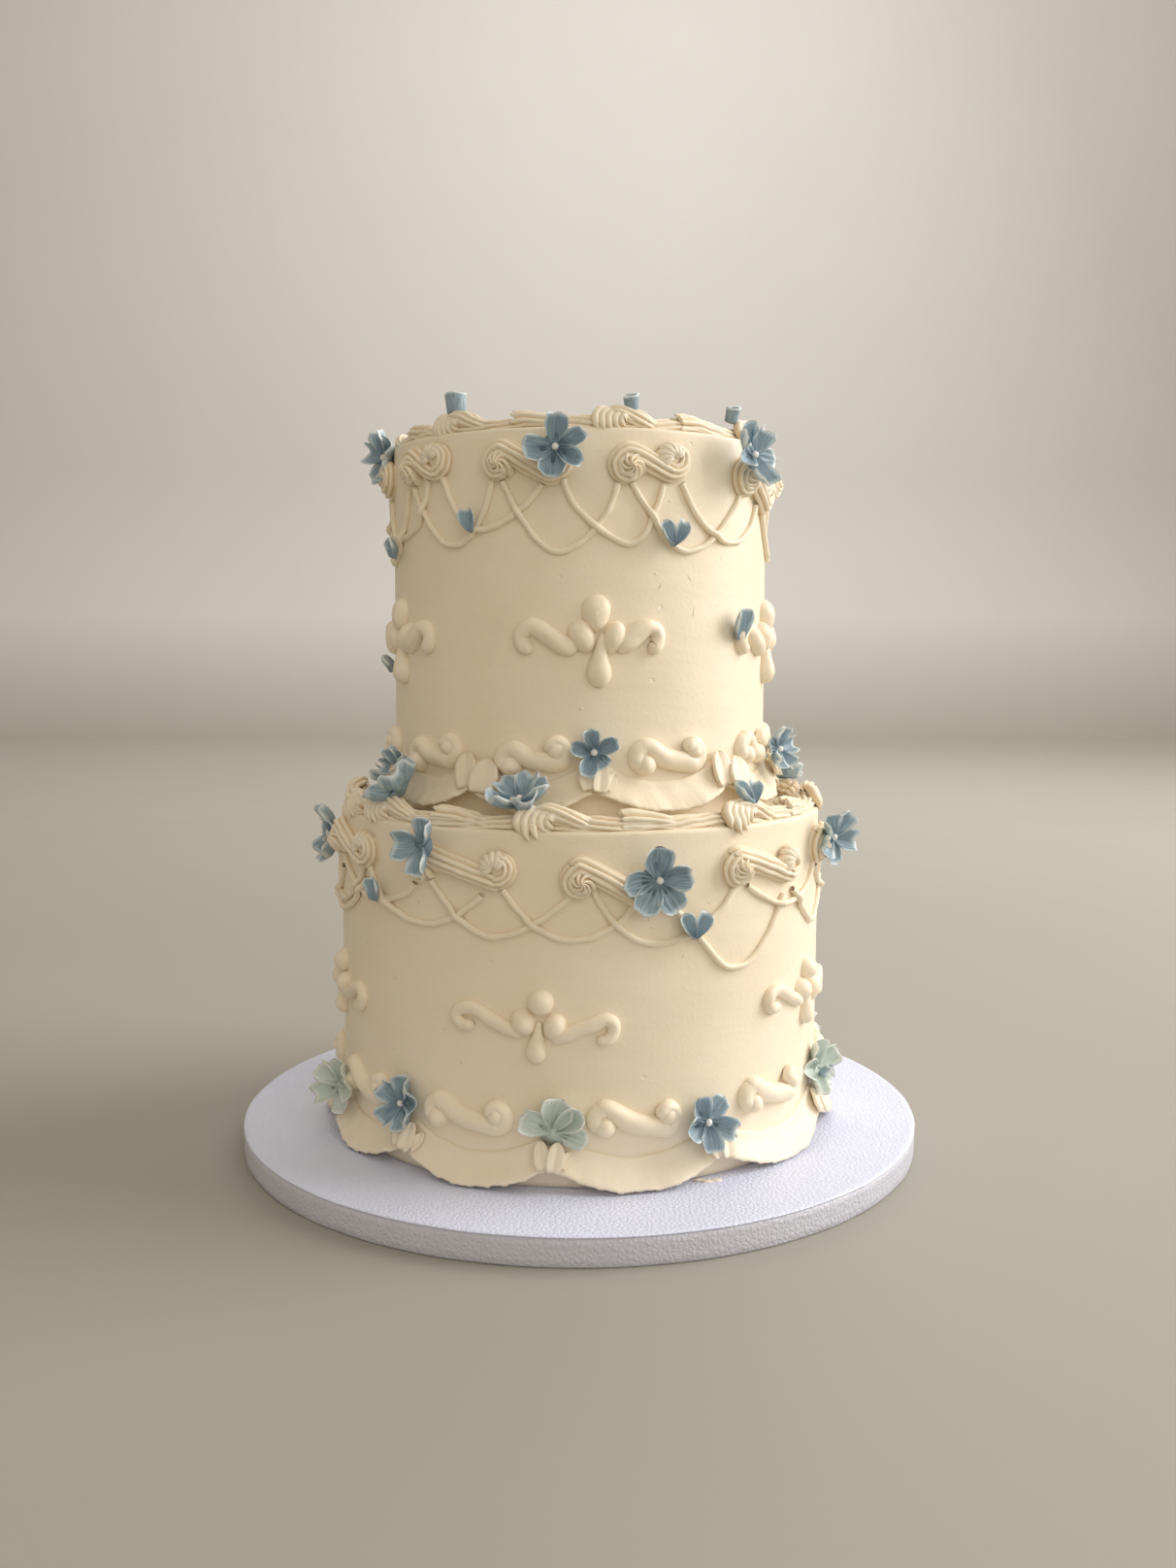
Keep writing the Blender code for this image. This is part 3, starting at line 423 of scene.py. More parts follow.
def all_swags(seen, draw):
    made = list(seen)
    last = max((left + right) / 2 for left, _, right, _ in seen)
    first = min((left + right) / 2 for left, _, right, _ in seen)
    level = seen[0][1]
    for angle in hidden_places(last, first, HIDDEN_SWAGS):
        angle += draw.uniform(-1.5, 1.5)
        left = (angle - HIDDEN_SWAG_HALF, level + draw.uniform(-2, 2))
        right = (angle + HIDDEN_SWAG_HALF, level + draw.uniform(-2, 2))
        made.append((*left, *right))
    return made


def all_strings(seen, swags, depth, draw):
    """The strings that show, then one from each hidden rosette to the same one of the next swag."""
    made = list(seen)
    ordered = sorted(swags, key=lambda swag: (swag[0] - SEEN_FROM) % 360)
    for here, after in zip(ordered, ordered[1:] + ordered[:1]):
        for side in (0, 2):
            start = here[side]
            stop = after[side] + (360 if after[side] < start else 0)
            middle = (start + stop) / 2
            if SEEN_FROM < middle < SEEN_TO:
                continue
            top = here[side + 1] - 8.0
            low = here[1] - depth + draw.uniform(-3, 3)
            quarter = low + 0.3 * (top - low)
            span = stop - start
            made.append((
                (start, top), (start + 0.2 * span, quarter), (middle, low),
                (stop - 0.2 * span, quarter), (stop, top),
            ))
    return made


def spans(joints):
    """Each joint with the next one round the tier."""
    return list(zip(joints, joints[1:] + (joints[0] + 360,)))


def all_scrolls(seen, joints, level, draw):
    """The scrolls that show, then one between each pair of hidden joints."""
    made = list(seen)
    centres = [(left + right) / 2 for left, _, right, _ in seen]
    for start, stop in spans(joints):
        middle = (start + stop) / 2
        if min(abs((middle - centre + 180) % 360 - 180) for centre in centres) < 15:
            continue
        half = 6.8 + draw.uniform(-0.4, 0.4)
        made.append((middle - half, level + draw.uniform(-1, 1), middle + half, level + 1.5))
    return made


def wall(tier):
    """The smoothed icing: a wall that is not quite true, a soft top edge and the top face."""
    body = Body(tier.node + "_icing")
    angles = np.linspace(0, 360, 300, endpoint=False)
    heights = np.linspace(tier.low, tier.high - EDGE_RADIUS, 60)
    rows = [tier.points(angles, np.full_like(angles, height)) for height in heights]
    for k in range(1, 7):
        turn = 0.5 * math.pi * k / 6
        level = tier.high - EDGE_RADIUS + EDGE_RADIUS * math.sin(turn)
        rows.append(tier.points(angles, level, EDGE_RADIUS * (math.cos(turn) - 1)))
    for share in (0.9, 0.75, 0.5, 0.25, 0.02):
        inward = (tier.radius - EDGE_RADIUS) * (share - 1) - EDGE_RADIUS
        rows.append(tier.points(angles, tier.high, inward))
    points = np.array(rows)
    outward = tier.outward(angles)[None]
    flat = points.reshape(-1, 3)
    slow = wobble(flat * (1, 1, 0.6), 42.0, 0.20)[:, 0] + wobble(flat * (0.5, 0.5, 2.0), 15.0, 0.05)[:, 1]
    amount = slow.reshape(points.shape[:2] + (1,))
    on_side = (np.arange(len(rows)) < len(heights) + 4)[:, None, None]
    points = points + outward * amount * on_side
    body.grid(points, around=True, caps=True)
    return body


def swag(body, tier, left, left_height, right, right_height, draw):
    """One star-piped S: it starts in the left rosette, passes over it and ends in the right one."""
    turns = (-20, -80, -140, -195, -245, -295)
    coils = (1.2, 2.6, 3.7, 4.5, 4.9, 5.2)
    path = [around(tier, left, left_height, coil, turn) for turn, coil in zip(turns, coils)]
    turns = (232, 278, 325, 372, 415, 455)
    coils = (5.3, 5.1, 5.0, 4.5, 3.2, 1.4)
    path += [around(tier, right, right_height, coil, turn) for turn, coil in zip(turns, coils)]
    path = smooth_curve(path, 8)
    count = len(path)
    widths = spread((1.7, 3.2, 4.0, 4.3, 4.5, 4.6, 4.5, 4.3, 4.1, 3.9, 3.5, 2.9, 1.7), count)
    lift = spread((3.6, 2.8, 1.4, 0.8, 0.7, 0.6, 0.6, 0.7, 0.8, 1.0, 1.6, 2.8, 3.8), count)
    turn = np.linspace(0.0, 1.9, count) + draw.uniform(0, 1)
    sweep(body, tier, path, star_section(widths, 1.12, 9, turn), lift, star=True)
    size = 6.9 * draw.uniform(0.95, 1.06)
    dome(body, *on_wall(tier, left, left_height, draw.uniform(0, 90)), (size, size), 7.8,
         ridges=draw.choice((6, 7, 7, 8)), twist=2.1, depth=0.24, peak=0.6)
    fan(body, tier, right, right_height, draw.uniform(-8, 8))


def fan(body, tier, angle, height, turned):
    """The fan of ridges where a stroke breaks off: narrow at its centre and opening upwards."""
    dome(body, *on_wall(tier, angle, height + 0.8), (5.0, 5.0), 4.6)
    for turn in np.linspace(20, 185, 7) + turned:
        reaches = (0.5, 2.4, 4.6, 7.0)
        stroke = [around(tier, angle, height - 0.4, reach, turn + 5 * reach) for reach in reaches]
        path = smooth_curve(stroke, 4)
        widths = spread((0.8, 1.3, 1.7, 1.5), len(path))
        widths = rounded_ends(widths, lengths(tier.points(path[:, 0], path[:, 1])))
        lift = spread((4.6, 4.6, 3.4, 1.0), len(path))
        # Painted shade along both feet of each ridge.
        sweep(body, tier, path, round_section(widths, 1.3, 9), lift, shade_feet=True)


def marks(tier, places):
    """Small smears and crumbs left on the smooth icing, and one smear on the drum before it."""
    body = Body(tier.node + "_marks")
    if tier is BOTTOM:
        across, inward, upward = np.array(((0.98, 0.17, 0.0), (-0.17, 0.98, 0.0), (0.0, 0.0, 1.0)))
        for x, y, wide in ((47.5, -99.6, 2.6), (50.6, -100.4, 2.2), (54.2, -99.0, 2.4)):
            place = np.array((x, y, DRUM_THICKNESS))
            dome(body, place, across, inward, upward, (wide, 1.1), 0.8, samples=12, rows=5)
    for angle, height, wide, tall, tilt in places:
        dome(body, *on_wall(tier, angle, height, tilt), (wide, tall), 0.25, samples=12, rows=5)
    return body


def swags(tier, places, draw):
    body = Body(tier.node + "_swags")
    for place in places:
        swag(body, tier, *place, draw)
    return body


def hang(path):
    """Rounds a path's tight places, as a hanging string has none, and keeps it in its place."""
    reach = 9
    window = np.ones(2 * reach + 1) / (2 * reach + 1)

    def soften(line):
        before = 2 * line[0] - line[reach:0:-1]
        after = 2 * line[-1] - line[-2:-reach - 2:-1]
        padded = np.concatenate([before, line, after])
        return np.stack([np.convolve(column, window, "valid") for column in padded.T], axis=-1)

    return soften(2 * path - soften(path))


def strings(tier, places):
    """Round strings from rosette to rosette; a later one lies over those before it."""
    body = Body(tier.node + "_strings")
    laid = np.zeros((0, 3))
    for place in places:
        path = hang(smooth_curve(place, 14))
        line = tier.points(path[:, 0], path[:, 1])
        lift = np.full(len(path), 0.75)
        if len(laid):
            near = np.linalg.norm(line[:, None] - laid[None], axis=-1).min(axis=1)
            lift += 1.8 * np.exp(-(near / 2.6) ** 2)
        laid = np.vstack([laid, line])
        widths = STRING_RADIUS * (1 + 0.05 * np.sin(lengths(line) * 0.7 + len(laid)))
        turns = np.linspace(0, math.tau, 10, endpoint=False)
        section = np.stack([np.outer(widths, np.cos(turns)), np.outer(widths, np.sin(turns))], axis=-1)
        sweep(body, tier, path, section, lift, around=True)
    return body


def ornaments(tier, angles, level, shape):
    """Three eggs and a teardrop between two plain scrolls, at each angle."""
    body = Body(tier.node + "_ornaments")
    for angle in angles:
        for along, up, wide, tall, tilt, egg in shape["eggs"]:
            place = on_wall(tier, angle + tier.degrees(along), level + up, tilt)
            dome(body, *place, (wide, tall), 5.4, egg=egg)
        for places, widths in shape["strokes"]:
            path = smooth_curve([(angle + tier.degrees(along), level + up) for along, up in places], 8)
            distances = lengths(tier.points(path[:, 0], path[:, 1]))
            reach = rounded_ends(spread(widths, len(path)), distances)
            sweep(body, tier, path, round_section(reach, 0.98), 0.8)
    return body


# Half widths of a scroll from its left end to its right, and how far it is lifted off the wall.
SCROLL_WIDTHS = (4.4, 4.1, 3.8, 3.7, 3.7, 3.9, 4.1, 4.2, 3.9, 3.6, 3.4, 3.2, 3.1, 3.1, 3.0)
SCROLL_LIFTS = (1.5, 0.9, 0.5, 0.4, 0.4, 0.5, 0.5, 0.5, 0.4, 0.4, 0.5, 0.8, 1.3, 1.9, 2.5)


def scrolls(tier, places):
    """Plain-tip S scrolls, each coil ending in a ball."""
    body = Body(tier.node + "_scrolls")
    for left, left_height, right, right_height in places:
        span = right - left
        turns = (-80, -125, -170, -215, -260, -300)
        coils = (2.9, 2.8, 2.9, 3.1, 3.4, 4.6)
        path = [around(tier, left, left_height, coil, turn) for turn, coil in zip(turns, coils)]
        path.append((left + 0.43 * span, (left_height + right_height) / 2 - 1.6))
        turns = (-120, -80, -40, 0, 45, 90, 140, 190)
        coils = (5.2, 4.8, 4.0, 3.0, 2.9, 3.2, 2.8, 1.6)
        path += [around(tier, right, right_height, coil, turn) for turn, coil in zip(turns, coils)]
        path = smooth_curve(path, 7)
        distances = lengths(tier.points(path[:, 0], path[:, 1]))
        widths = spread(SCROLL_WIDTHS, len(path))
        lift = spread(SCROLL_LIFTS, len(path))
        sweep(body, tier, path, round_section(rounded_ends(widths, distances), 1.0), lift)
        dome(body, *on_wall(tier, *around(tier, left, left_height, 2.9, -80)), (4.7, 4.6), 5.8)
        dome(body, *on_wall(tier, right, right_height), (4.2, 4.2), 5.6)
    return body


def ruffles(tier, joints, foot):
    """Ribbons of icing between the joints, their lower edges thin and standing off the wall."""
    body = Body(tier.node + "_ruffles")
    steps = 60
    for index, (start, stop) in enumerate(spans(joints)):
        share = np.linspace(0.0, 1.0, steps + 1)
        sag = np.sin(math.pi * np.clip(share, 0.035, 0.965)) ** 0.8
        path = np.stack([start + (stop - start) * share, foot + 12.5 - 9.5 * sag], axis=-1)
        flare = 9.0 * (0.5 + 0.5 * sag)
        waves = np.sin(share * 17 + index) * 0.35 + np.sin(share * 41 + 2 * index) * 0.16
        torn = 0.35 * np.sin(share * 93 + index * 3) * np.sin(share * 31 + index)
        outline = (
            (6.6, -0.8, 0.0), (6.7, 0.7, 0.0), (6.2, 1.2, 0.02), (4.6, 0.9, 0.10), (2.6, 0.7, 0.24),
            (0.4, 0.5, 0.46), (-1.6, 0.3, 0.72), (-3.2, 0.1, 0.94), (-4.1, 0.0, 1.02),
            (-4.6, -0.2, 1.0), (-4.4, -0.6, 0.94), (-2.6, -0.8, 0.76), (-0.6, -0.9, 0.50),
            (1.4, -1.0, 0.26), (3.0, -1.2, 0.10),
        )
        section = []
        for up, out, lean in outline:
            low = max(0.0, -up / 4.6)
            section.append(np.stack([up + torn * low, out + lean * (flare + waves)], axis=-1))
        sweep(body, tier, path, np.stack(section, axis=1))
    return body


FAN_PETAL_THICKNESS = 1.3


def fan_petal(body, place, right, up, out, width, length, cup):
    """A rounded petal of icing that stands off the wall, hollow in front."""
    across = np.linspace(-1, 1, 9)
    rows = []
    for v in np.sin(np.linspace(0.0, 0.5 * math.pi, 14)):
        half = 0.5 * width * (0.70 + 0.30 * math.sin(0.5 * math.pi * min(1.0, v * 2.0)))
        half *= math.sqrt(max(0.02, 1 - max(0.0, (v - 0.42) / 0.59) ** 2))
        front = cup * (1.0 - 0.55 * v) + 0.9 * np.abs(across) ** 2.5 - 0.25 * np.cos(across * 7)
        level = (v - 0.5) * length
        face = place + np.outer(across * half, right) + np.outer(front, out) + level * up
        back = face - (FAN_PETAL_THICKNESS + 0.6 * (1 - v)) * out
        rows.append(np.vstack([face, back[::-1]]))
    body.grid(np.array(rows), around=True, caps=True)


def bows(tier, joints, flowered, foot):
    """The pleats that close each joint; a flower covers all but the lowest of some."""
    body = Body(tier.node + "_bows")
    for angle in joints:
        if angle in flowered:
            pleats = (
                (-3.0, 12.4, 6.4, 9.6, 12, 7.6), (2.4, 12.0, 7.0, 10.4, -10, 8.6),
                (6.2, 10.6, 4.4, 6.4, -34, 7.0),
            )
        else:
            pleats = ((-2.9, 14.0, 10.4, 14.2, 8, 6.0), (6.1, 12.0, 13.0, 12.8, -6, 8.0))
        for along, up, width, length, tilt, cup in pleats:
            spot = on_wall(tier, angle + tier.degrees(along), foot + up, tilt)
            fan_petal(body, *spot, width, length, cup)
    return body


def rim(tier, rosettes, shells, dripping):
    """The star-piped rope round the top edge, with its rosettes and spiky shell heads."""
    body = Body(tier.node + "_rim")
    angles = np.linspace(0, 360, 541)
    turns = np.radians(angles)
    swell = 1.0 + 0.05 * np.sin(turns * 19) + 0.06 * np.sin(turns * 8 + 2)
    sway = 0.5 * np.sin(turns * 7) + 0.35 * np.sin(turns * 11 + 1)
    width = 4.4 if tier is BOTTOM else 3.8
    section = star_section(width * swell, 0.9, 9, 0.5 * np.sin(turns * 8))
    centre = tier.points(angles, tier.high + 1.2, -6.0) + sway[:, None] * tier.outward(angles)
    up = np.tile((0.0, 0.0, 1.0), (len(angles), 1))
    carry(body, centre, up, section, star=True)
    for angle in rosettes:
        rim_rosette(body, tier, angle, angle in dripping)
    for angle in shells:
        rim_shell(body, tier, angle)
    return body


def on_rim(tier, angle, places, lean, inset, height):
    """Places (along, inward, raised) on a plane that leans out over the rim, and its outward side."""
    along, inward, raised = np.asarray(places, float).T
    angles = angle + tier.degrees(along)
    out = tier.outward(angles)
    up = np.array((0.0, 0.0, 1.0))
    tilt = math.radians(lean)
    face = up * math.cos(tilt) + out * math.sin(tilt)
    slope = up * math.sin(tilt) - out * math.cos(tilt)
    centre = tier.points(angles, np.full_like(angles, height), -inset)
    return centre + slope * inward[:, None] + face * raised[:, None], face


def rim_rosette(body, tier, angle, dripping):
    """The rope comes in from the right, turns over the edge and breaks off in pointed ridges."""
    lean = 50.0 if tier is BOTTOM else 62.0
    inset = 3.4 if tier is BOTTOM else 3.6
    size = 1.0 if tier is BOTTOM else 0.86
    level = tier.high + 2.4 * size
    places = ((24.0, 0.0, -2.0), (17.0, 1.2, 0.4), (10.0, 3.0, 1.4), (3.4, 3.8, 1.6), (-1.5, 3.2, 1.0))
    path = smooth_curve(places, 7) * size
    centre, face = on_rim(tier, angle, path, lean, inset, level)
    turn = np.linspace(0.0, 1.2, len(path)) + angle
    widths = size * spread((2.4, 3.4, 3.9, 4.0, 3.0), len(path))
    carry(body, centre, face, star_section(widths, 1.05, 8, turn), star=True)
    middle, face = on_rim(tier, angle, ((0.8 * size, 0.2, -0.6),), lean, inset, level)
    right = on_wall(tier, angle, 0.0)[1]
    up = np.cross(face[0], right)
    dome(body, middle[0], right, up, face[0], (6.6 * size, 4.9 * size), 3.4 * size)
    tips = (-5.0, -6.2, -5.4, -3.9, -2.3)
    for k, tip in enumerate(tips):
        tip -= 1.6 if dripping and k in (1, 2) else 0.0
        places = (
            (3.4 + 2.1 * k, 5.6 - 1.4 * k, 1.2), (-3.4 + 2.8 * k, 4.8 - 0.9 * k, 2.6),
            (-6.6 + 3.0 * k, 1.4 - 0.4 * k, 2.6), (-6.3 + 3.0 * k, 0.5 * tip - 0.2, 1.9),
            (-4.6 + 3.1 * k, tip, 0.2),
        )
        path = smooth_curve(places, 5) * size
        centre, face = on_rim(tier, angle, path, lean, inset, level)
        widths = size * spread((0.9, 1.8, 2.0, 1.7, 0.25), len(path))
        # Painted shade along both feet of each pointed ridge.
        carry(body, centre, face, round_section(widths, 1.25, 11), shade_feet=True)


def rim_shell(body, tier, angle):
    """A shell head: the ridges of a fresh stroke start in points and run on to the right."""
    places = (
        (-5.0, 0.2, 1.6), (-2.5, 0.3, 1.7), (1.0, 0.4, 1.5), (7.0, 0.3, 1.0), (14.0, 0.0, 0.0),
        (22.0, 0.0, -1.8),
    )
    path = smooth_curve(places, 7)
    path = np.vstack([path[:1] + (0.02, 0.0, 0.0), path])
    centre, face = on_rim(tier, angle, path, 0.0, 6.0, tier.high + 1.2)
    scale = 1.0 if tier is BOTTOM else 0.86
    widths = scale * np.append(1.2, spread((5.3, 5.3, 5.1, 4.6, 4.0, 3.0), len(path) - 1))
    section = star_section(widths, 1.0, 9, 0 * path[:, 0] + angle, 0.4)
    reach = np.linalg.norm(section, axis=-1)
    crest = reach / reach.max(axis=1, keepdims=True)
    start = np.clip(1 - (np.arange(len(path)) - 1) / 5, 0, 1)[:, None]
    start[0] = 0.0
    carry(body, centre, face, section, star=True, spikes=7.0 * start * (crest - crest.min()))


def drum_body():
    """The round drum: foil drawn over its edge in a crisp line, with a lapped seam at the side."""
    body = Body("drum_foil")
    turns = np.linspace(0, math.tau, 360, endpoint=False)
    profile = (
        (0.0, 0.0), (0.97, 0.0), (0.9955, 0.1), (0.9988, 0.8), (0.999, 3.5), (0.999, 6.0), (0.999, 8.5),
        (0.9985, 10.9), (0.9945, 11.2), (0.9945, 11.3), (0.9996, 11.42), (0.9996, 11.7), (0.9975, 11.98),
        (0.985, 12.0), (0.97, 11.95), (0.9, 11.95), (0.7, 11.95), (0.3, 11.95), (0.0, 11.95),
    )
    seam = math.radians(47.0)
    rows = []
    for share, level in profile:
        past = (turns - seam) % math.tau
        lap = 0.35 * np.exp(-past / 0.05) * (1 if 0.3 < level < 11.8 else 0)
        crease = 0.12 * np.sin(turns * 23 + level) * np.sin(turns * 7) * (share > 0.95)
        reach = DRUM_RADIUS * share + lap + crease
        rows.append(np.stack([reach * np.sin(turns), -reach * np.cos(turns), level + 0 * turns], axis=-1))
    body.grid(np.array(rows), around=True)
    return body


PETAL_SHAPES = {
    "bowl": {"rise": 0.02, "lip": 0.58, "cup": 0.78, "grooves": 0.06, "waves": 8.0, "narrow": 0.24},
    "fold": {"rise": 0.22, "lip": 0.16, "cup": 0.95, "grooves": 0.02, "waves": 5.0, "narrow": 0.30},
    "fan": {"rise": 0.05, "lip": 0.18, "cup": 0.16, "grooves": 0.085, "waves": 13.0, "narrow": 0.16},
    "cup": {"rise": 0.24, "lip": 0.50, "cup": 1.00, "grooves": 0.03, "waves": 6.0, "narrow": 0.20},
    "spoon": {"rise": 0.10, "lip": 0.50, "cup": 0.95, "grooves": 0.0, "waves": 5.0, "narrow": 0.35},
}

# Petals of the flowers that show best: direction in degrees from the right, then length and half
# width as shares of the flower's width, then shape. Directions are as seen facing the flower.
PETALS = {
    "top_large_flower_1": ((96, 0.46, 0.17, "fold"), (20, 0.46, 0.21, "bowl"), (-52, 0.50, 0.21, "bowl"),
                           (-128, 0.50, 0.19, "fan"), (166, 0.46, 0.18, "fold")),
    "top_large_flower_2": ((84, 0.50, 0.19, "bowl"), (20, 0.52, 0.14, "fold"), (-34, 0.50, 0.15, "fold"),
                           (-98, 0.50, 0.22, "bowl"), (188, 0.50, 0.21, "bowl")),
    "top_large_flower_3": ((128, 0.52, 0.21, "bowl"), (62, 0.44, 0.19, "bowl"), (-8, 0.50, 0.19, "fan"),
                           (-74, 0.54, 0.21, "bowl"), (196, 0.44, 0.18, "fold")),
    "bottom_large_flower_2": ((186, 0.56, 0.28, "bowl"), (66, 0.52, 0.19, "fold"),
                              (-72, 0.56, 0.20, "fold")),
    "bottom_large_flower_3": ((99, 0.49, 0.21, "bowl"), (14, 0.42, 0.19, "cup"), (-58, 0.53, 0.20, "fan"),
                              (-116, 0.53, 0.20, "fan"), (188, 0.50, 0.17, "fan")),
    "bottom_border_flower_2": ((74, 0.50, 0.17, "fold"), (14, 0.48, 0.19, "bowl"),
                               (-60, 0.44, 0.20, "bowl"), (-132, 0.52, 0.17, "fold"),
                               (146, 0.46, 0.19, "bowl")),
    "bottom_border_flower_3": ((76, 0.50, 0.25, "fold"), (34, 0.56, 0.18, "cup"), (-14, 0.54, 0.17, "fan"),
                               (158, 0.52, 0.20, "bowl")),
    "top_border_flower_2": ((102, 0.48, 0.17, "fold"), (24, 0.52, 0.18, "cup"), (-48, 0.40, 0.17, "fan"),
                            (-112, 0.54, 0.20, "cup"), (168, 0.50, 0.17, "fold")),
    "ledge_flower_1": ((84, 0.50, 0.17, "fold"), (28, 0.48, 0.23, "bowl"), (-46, 0.50, 0.23, "cup"),
                       (-122, 0.50, 0.19, "bowl"), (170, 0.48, 0.19, "cup")),
    "ledge_flower_2": ((90, 0.52, 0.21, "cup"), (22, 0.50, 0.19, "cup"), (-44, 0.52, 0.22, "bowl"),
                       (-134, 0.52, 0.22, "bowl"), (158, 0.50, 0.20, "cup")),
}
FLOWER_SHAPES = ("bowl", "fold", "bowl", "fan", "bowl")

# A bud of two petals has its foot at one edge and opens away from it.
BUD_PETALS = ((122, 0.84, 0.25, "cup"), (60, 0.84, 0.25, "cup"))
SPOON_PETAL = ((100, 0.95, 0.40, "spoon"),)
BUD_FOOT = 0.40
HEART_BUDS = ("string_bud_3", "string_bud_7", "ledge_bud")


def petal(turn, length, half, depth, shape, draw):
    """One petal of a flower that faces +Z: a cupped sheet that widens from the heart, and its tones."""
    look = PETAL_SHAPES[shape]
    phase = draw.uniform(0, 6)
    u, v = np.meshgrid(np.linspace(-1, 1, 21), np.linspace(0.0, 1.0, 15))
    along = 0.5 + (length - 0.5) * v * (1 - 0.15 * np.abs(u) ** 2.6 * v)
    along = along + 0.02 * length * np.sin(u * 6 + phase) * v ** 4
    opened = look["narrow"] + (1 - look["narrow"]) * np.sin(0.5 * math.pi * np.minimum(1, v / 0.66))
    across = u * half * opened * (1 - 0.14 * v ** 6)
    level = 0.40 + look["rise"] * v + look["lip"] * v ** 3.2
    level = level + look["cup"] * np.abs(u) ** 2.2 * (0.30 + 0.70 * v) * (1 - 0.30 * v ** 8)
    level = level + look["grooves"] * np.cos(u * look["waves"] + phase) * np.sin(math.pi * v ** 0.8)
    level = level - 0.10 * np.exp(-(u / 0.16) ** 2) * (1 - v) + 0.05 * np.sin(u * 4 + phase) * v ** 3
    level = depth * np.minimum(level, 1.35)
    thick = (1.6 - 0.5 * v) * (1 - 0.25 * np.abs(u) ** 3) * (1 - 0.85 * v ** 8)
    cos, sin = math.cos(turn), math.sin(turn)
    front = np.stack([along * cos - across * sin, along * sin + across * cos, level], axis=-1)
    back = front - np.stack([0 * u, 0 * u, thick], axis=-1)
    sides = np.clip((np.abs(u) - 0.86) / 0.08, 0, 1) * np.clip((v - 0.25) / 0.25, 0, 1)
    border = np.maximum(sides, np.clip((v - 0.90) / 0.06, 0, 1))
    tone = np.stack([u + 2.7 * phase, v, border], axis=-1)
    sheet = np.concatenate([front, back[:, ::-1]], axis=1)
    return sheet, np.concatenate([tone, tone[:, ::-1]], axis=1)


def rolled_petal(width, depth):
    """A strip of icing rolled up on itself, standing on its foot and a little wider at its top."""
    turns = np.linspace(0, math.tau * 1.35, 44)
    share, height = np.meshgrid(turns / turns[-1], np.linspace(0.0, 1.0, 9))
    flare = 0.86 + 0.14 * height ** 1.5
    top = depth * (1.12 * height - 0.10 * height * np.sin(turns * 0.8)[None])
    radius = width * (0.24 + 0.30 * share) * flare
    sides = []
    for reach in (radius, radius - 0.9):
        sides.append(np.stack([reach * np.cos(turns), reach * np.sin(turns), top], axis=-1))
    border = np.clip((height - 0.88) / 0.1, 0, 1)
    tone = np.stack([share * 9, height, border], axis=-1)
    sheet = np.concatenate([sides[0], sides[1][:, ::-1]], axis=1)
    return sheet, np.concatenate([tone, tone[:, ::-1]], axis=1)


def ball(centre, radius, rows=9, columns=14):
    turns = np.linspace(0, math.tau, columns, endpoint=False)
    rings = []
    for fall in np.linspace(0.03, math.pi - 0.03, rows):
        flat = np.stack([np.cos(turns), np.sin(turns)], axis=-1) * radius * math.sin(fall)
        level = np.full(columns, centre[2] + radius * math.cos(fall))
        rings.append(np.column_stack([flat + centre[:2], level]))
    return np.array(rings)


def stem(width, depth):
    """The cone of icing under the petals, which holds them to the cake."""
    turns = np.linspace(0, math.tau, 12, endpoint=False)
    rings = []
    profile = ((1.5, 0.0), (0.13 * width, 0.16 * depth), (0.24 * width, 0.38 * depth), (0.3, 0.5 * depth))
    for radius, level in profile:
        rings.append(np.stack([radius * np.cos(turns), radius * np.sin(turns), level + 0 * turns], axis=-1))
    return np.array(rings)


def flower_petals(node, width, depth, count, draw):
    """The sheets of one flower or bud, facing +Z."""
    if node.startswith("rim_bud"):
        return [rolled_petal(width, depth)]
    foot = np.zeros(3)
    if node in HEART_BUDS:
        plan = BUD_PETALS
        foot[1] = -BUD_FOOT * width
    elif node.startswith(("string_bud", "wall_bud")):
        plan = SPOON_PETAL
        foot[1] = -BUD_FOOT * width
    elif node in PETALS:
        plan = PETALS[node]
    else:
        start = draw.uniform(0, 360)
        half = (0.98 if count > 3 else 1.1) / count
        plan = []
        for k in range(count):
            shape = FLOWER_SHAPES[(k + len(node)) % len(FLOWER_SHAPES)]
            plan.append((start + 360 * k / count, 0.5 * draw.uniform(0.94, 1.04), half, shape))
    sheets = []
    for turn, length, half, shape in plan:
        sheet, tones = petal(math.radians(turn), length * width, half * width, depth, shape, draw)
        sheets.append((sheet + foot, tones))
    return sheets


def flower(node, slot, face, width, depth, count, pearl, finishes, draw):
    """A flower of piped petals where the CAD node is, facing the same way."""
    low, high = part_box(node)
    face = face.normalized()
    turn = np.array(face.to_track_quat("Z", "Y").to_matrix())
    parts = [] if "_bud" in node else [(stem(width, depth), None, 0)]
    parts += [(sheet, tones, 0) for sheet, tones in flower_petals(node, width, depth, count, draw)]
    if pearl:
        parts.append((ball((0, 0, 0.60 * depth), PEARL_RADIUS), None, 1))
    turned = [points @ turn.T for points, _, _ in parts]
    every = np.concatenate([points.reshape(-1, 3) for points in turned])
    middle = (every.min(axis=0) + every.max(axis=0)) / 2
    origin = np.array((low + high) / 2) / MM - middle
    body = Body(node + "_petals")
    for points, (_, tones, look) in zip(turned, parts):
        body.grid(points + origin, around=True, caps=True, look=look, tone=tones)
    return body.make(finishes, slot, [node], uneven=PETAL_UNEVEN)


def wall_face(tier, angle, side, tip):
    """The way a flower on the wall faces, turned side degrees to the right and tip degrees up."""
    outward = Vector(tier.outward(np.array([angle]))[0])
    right = Vector((0, 0, 1)).cross(outward)
    upward = Vector((0, 0, math.tan(math.radians(tip))))
    return outward + right * math.tan(math.radians(side)) + upward


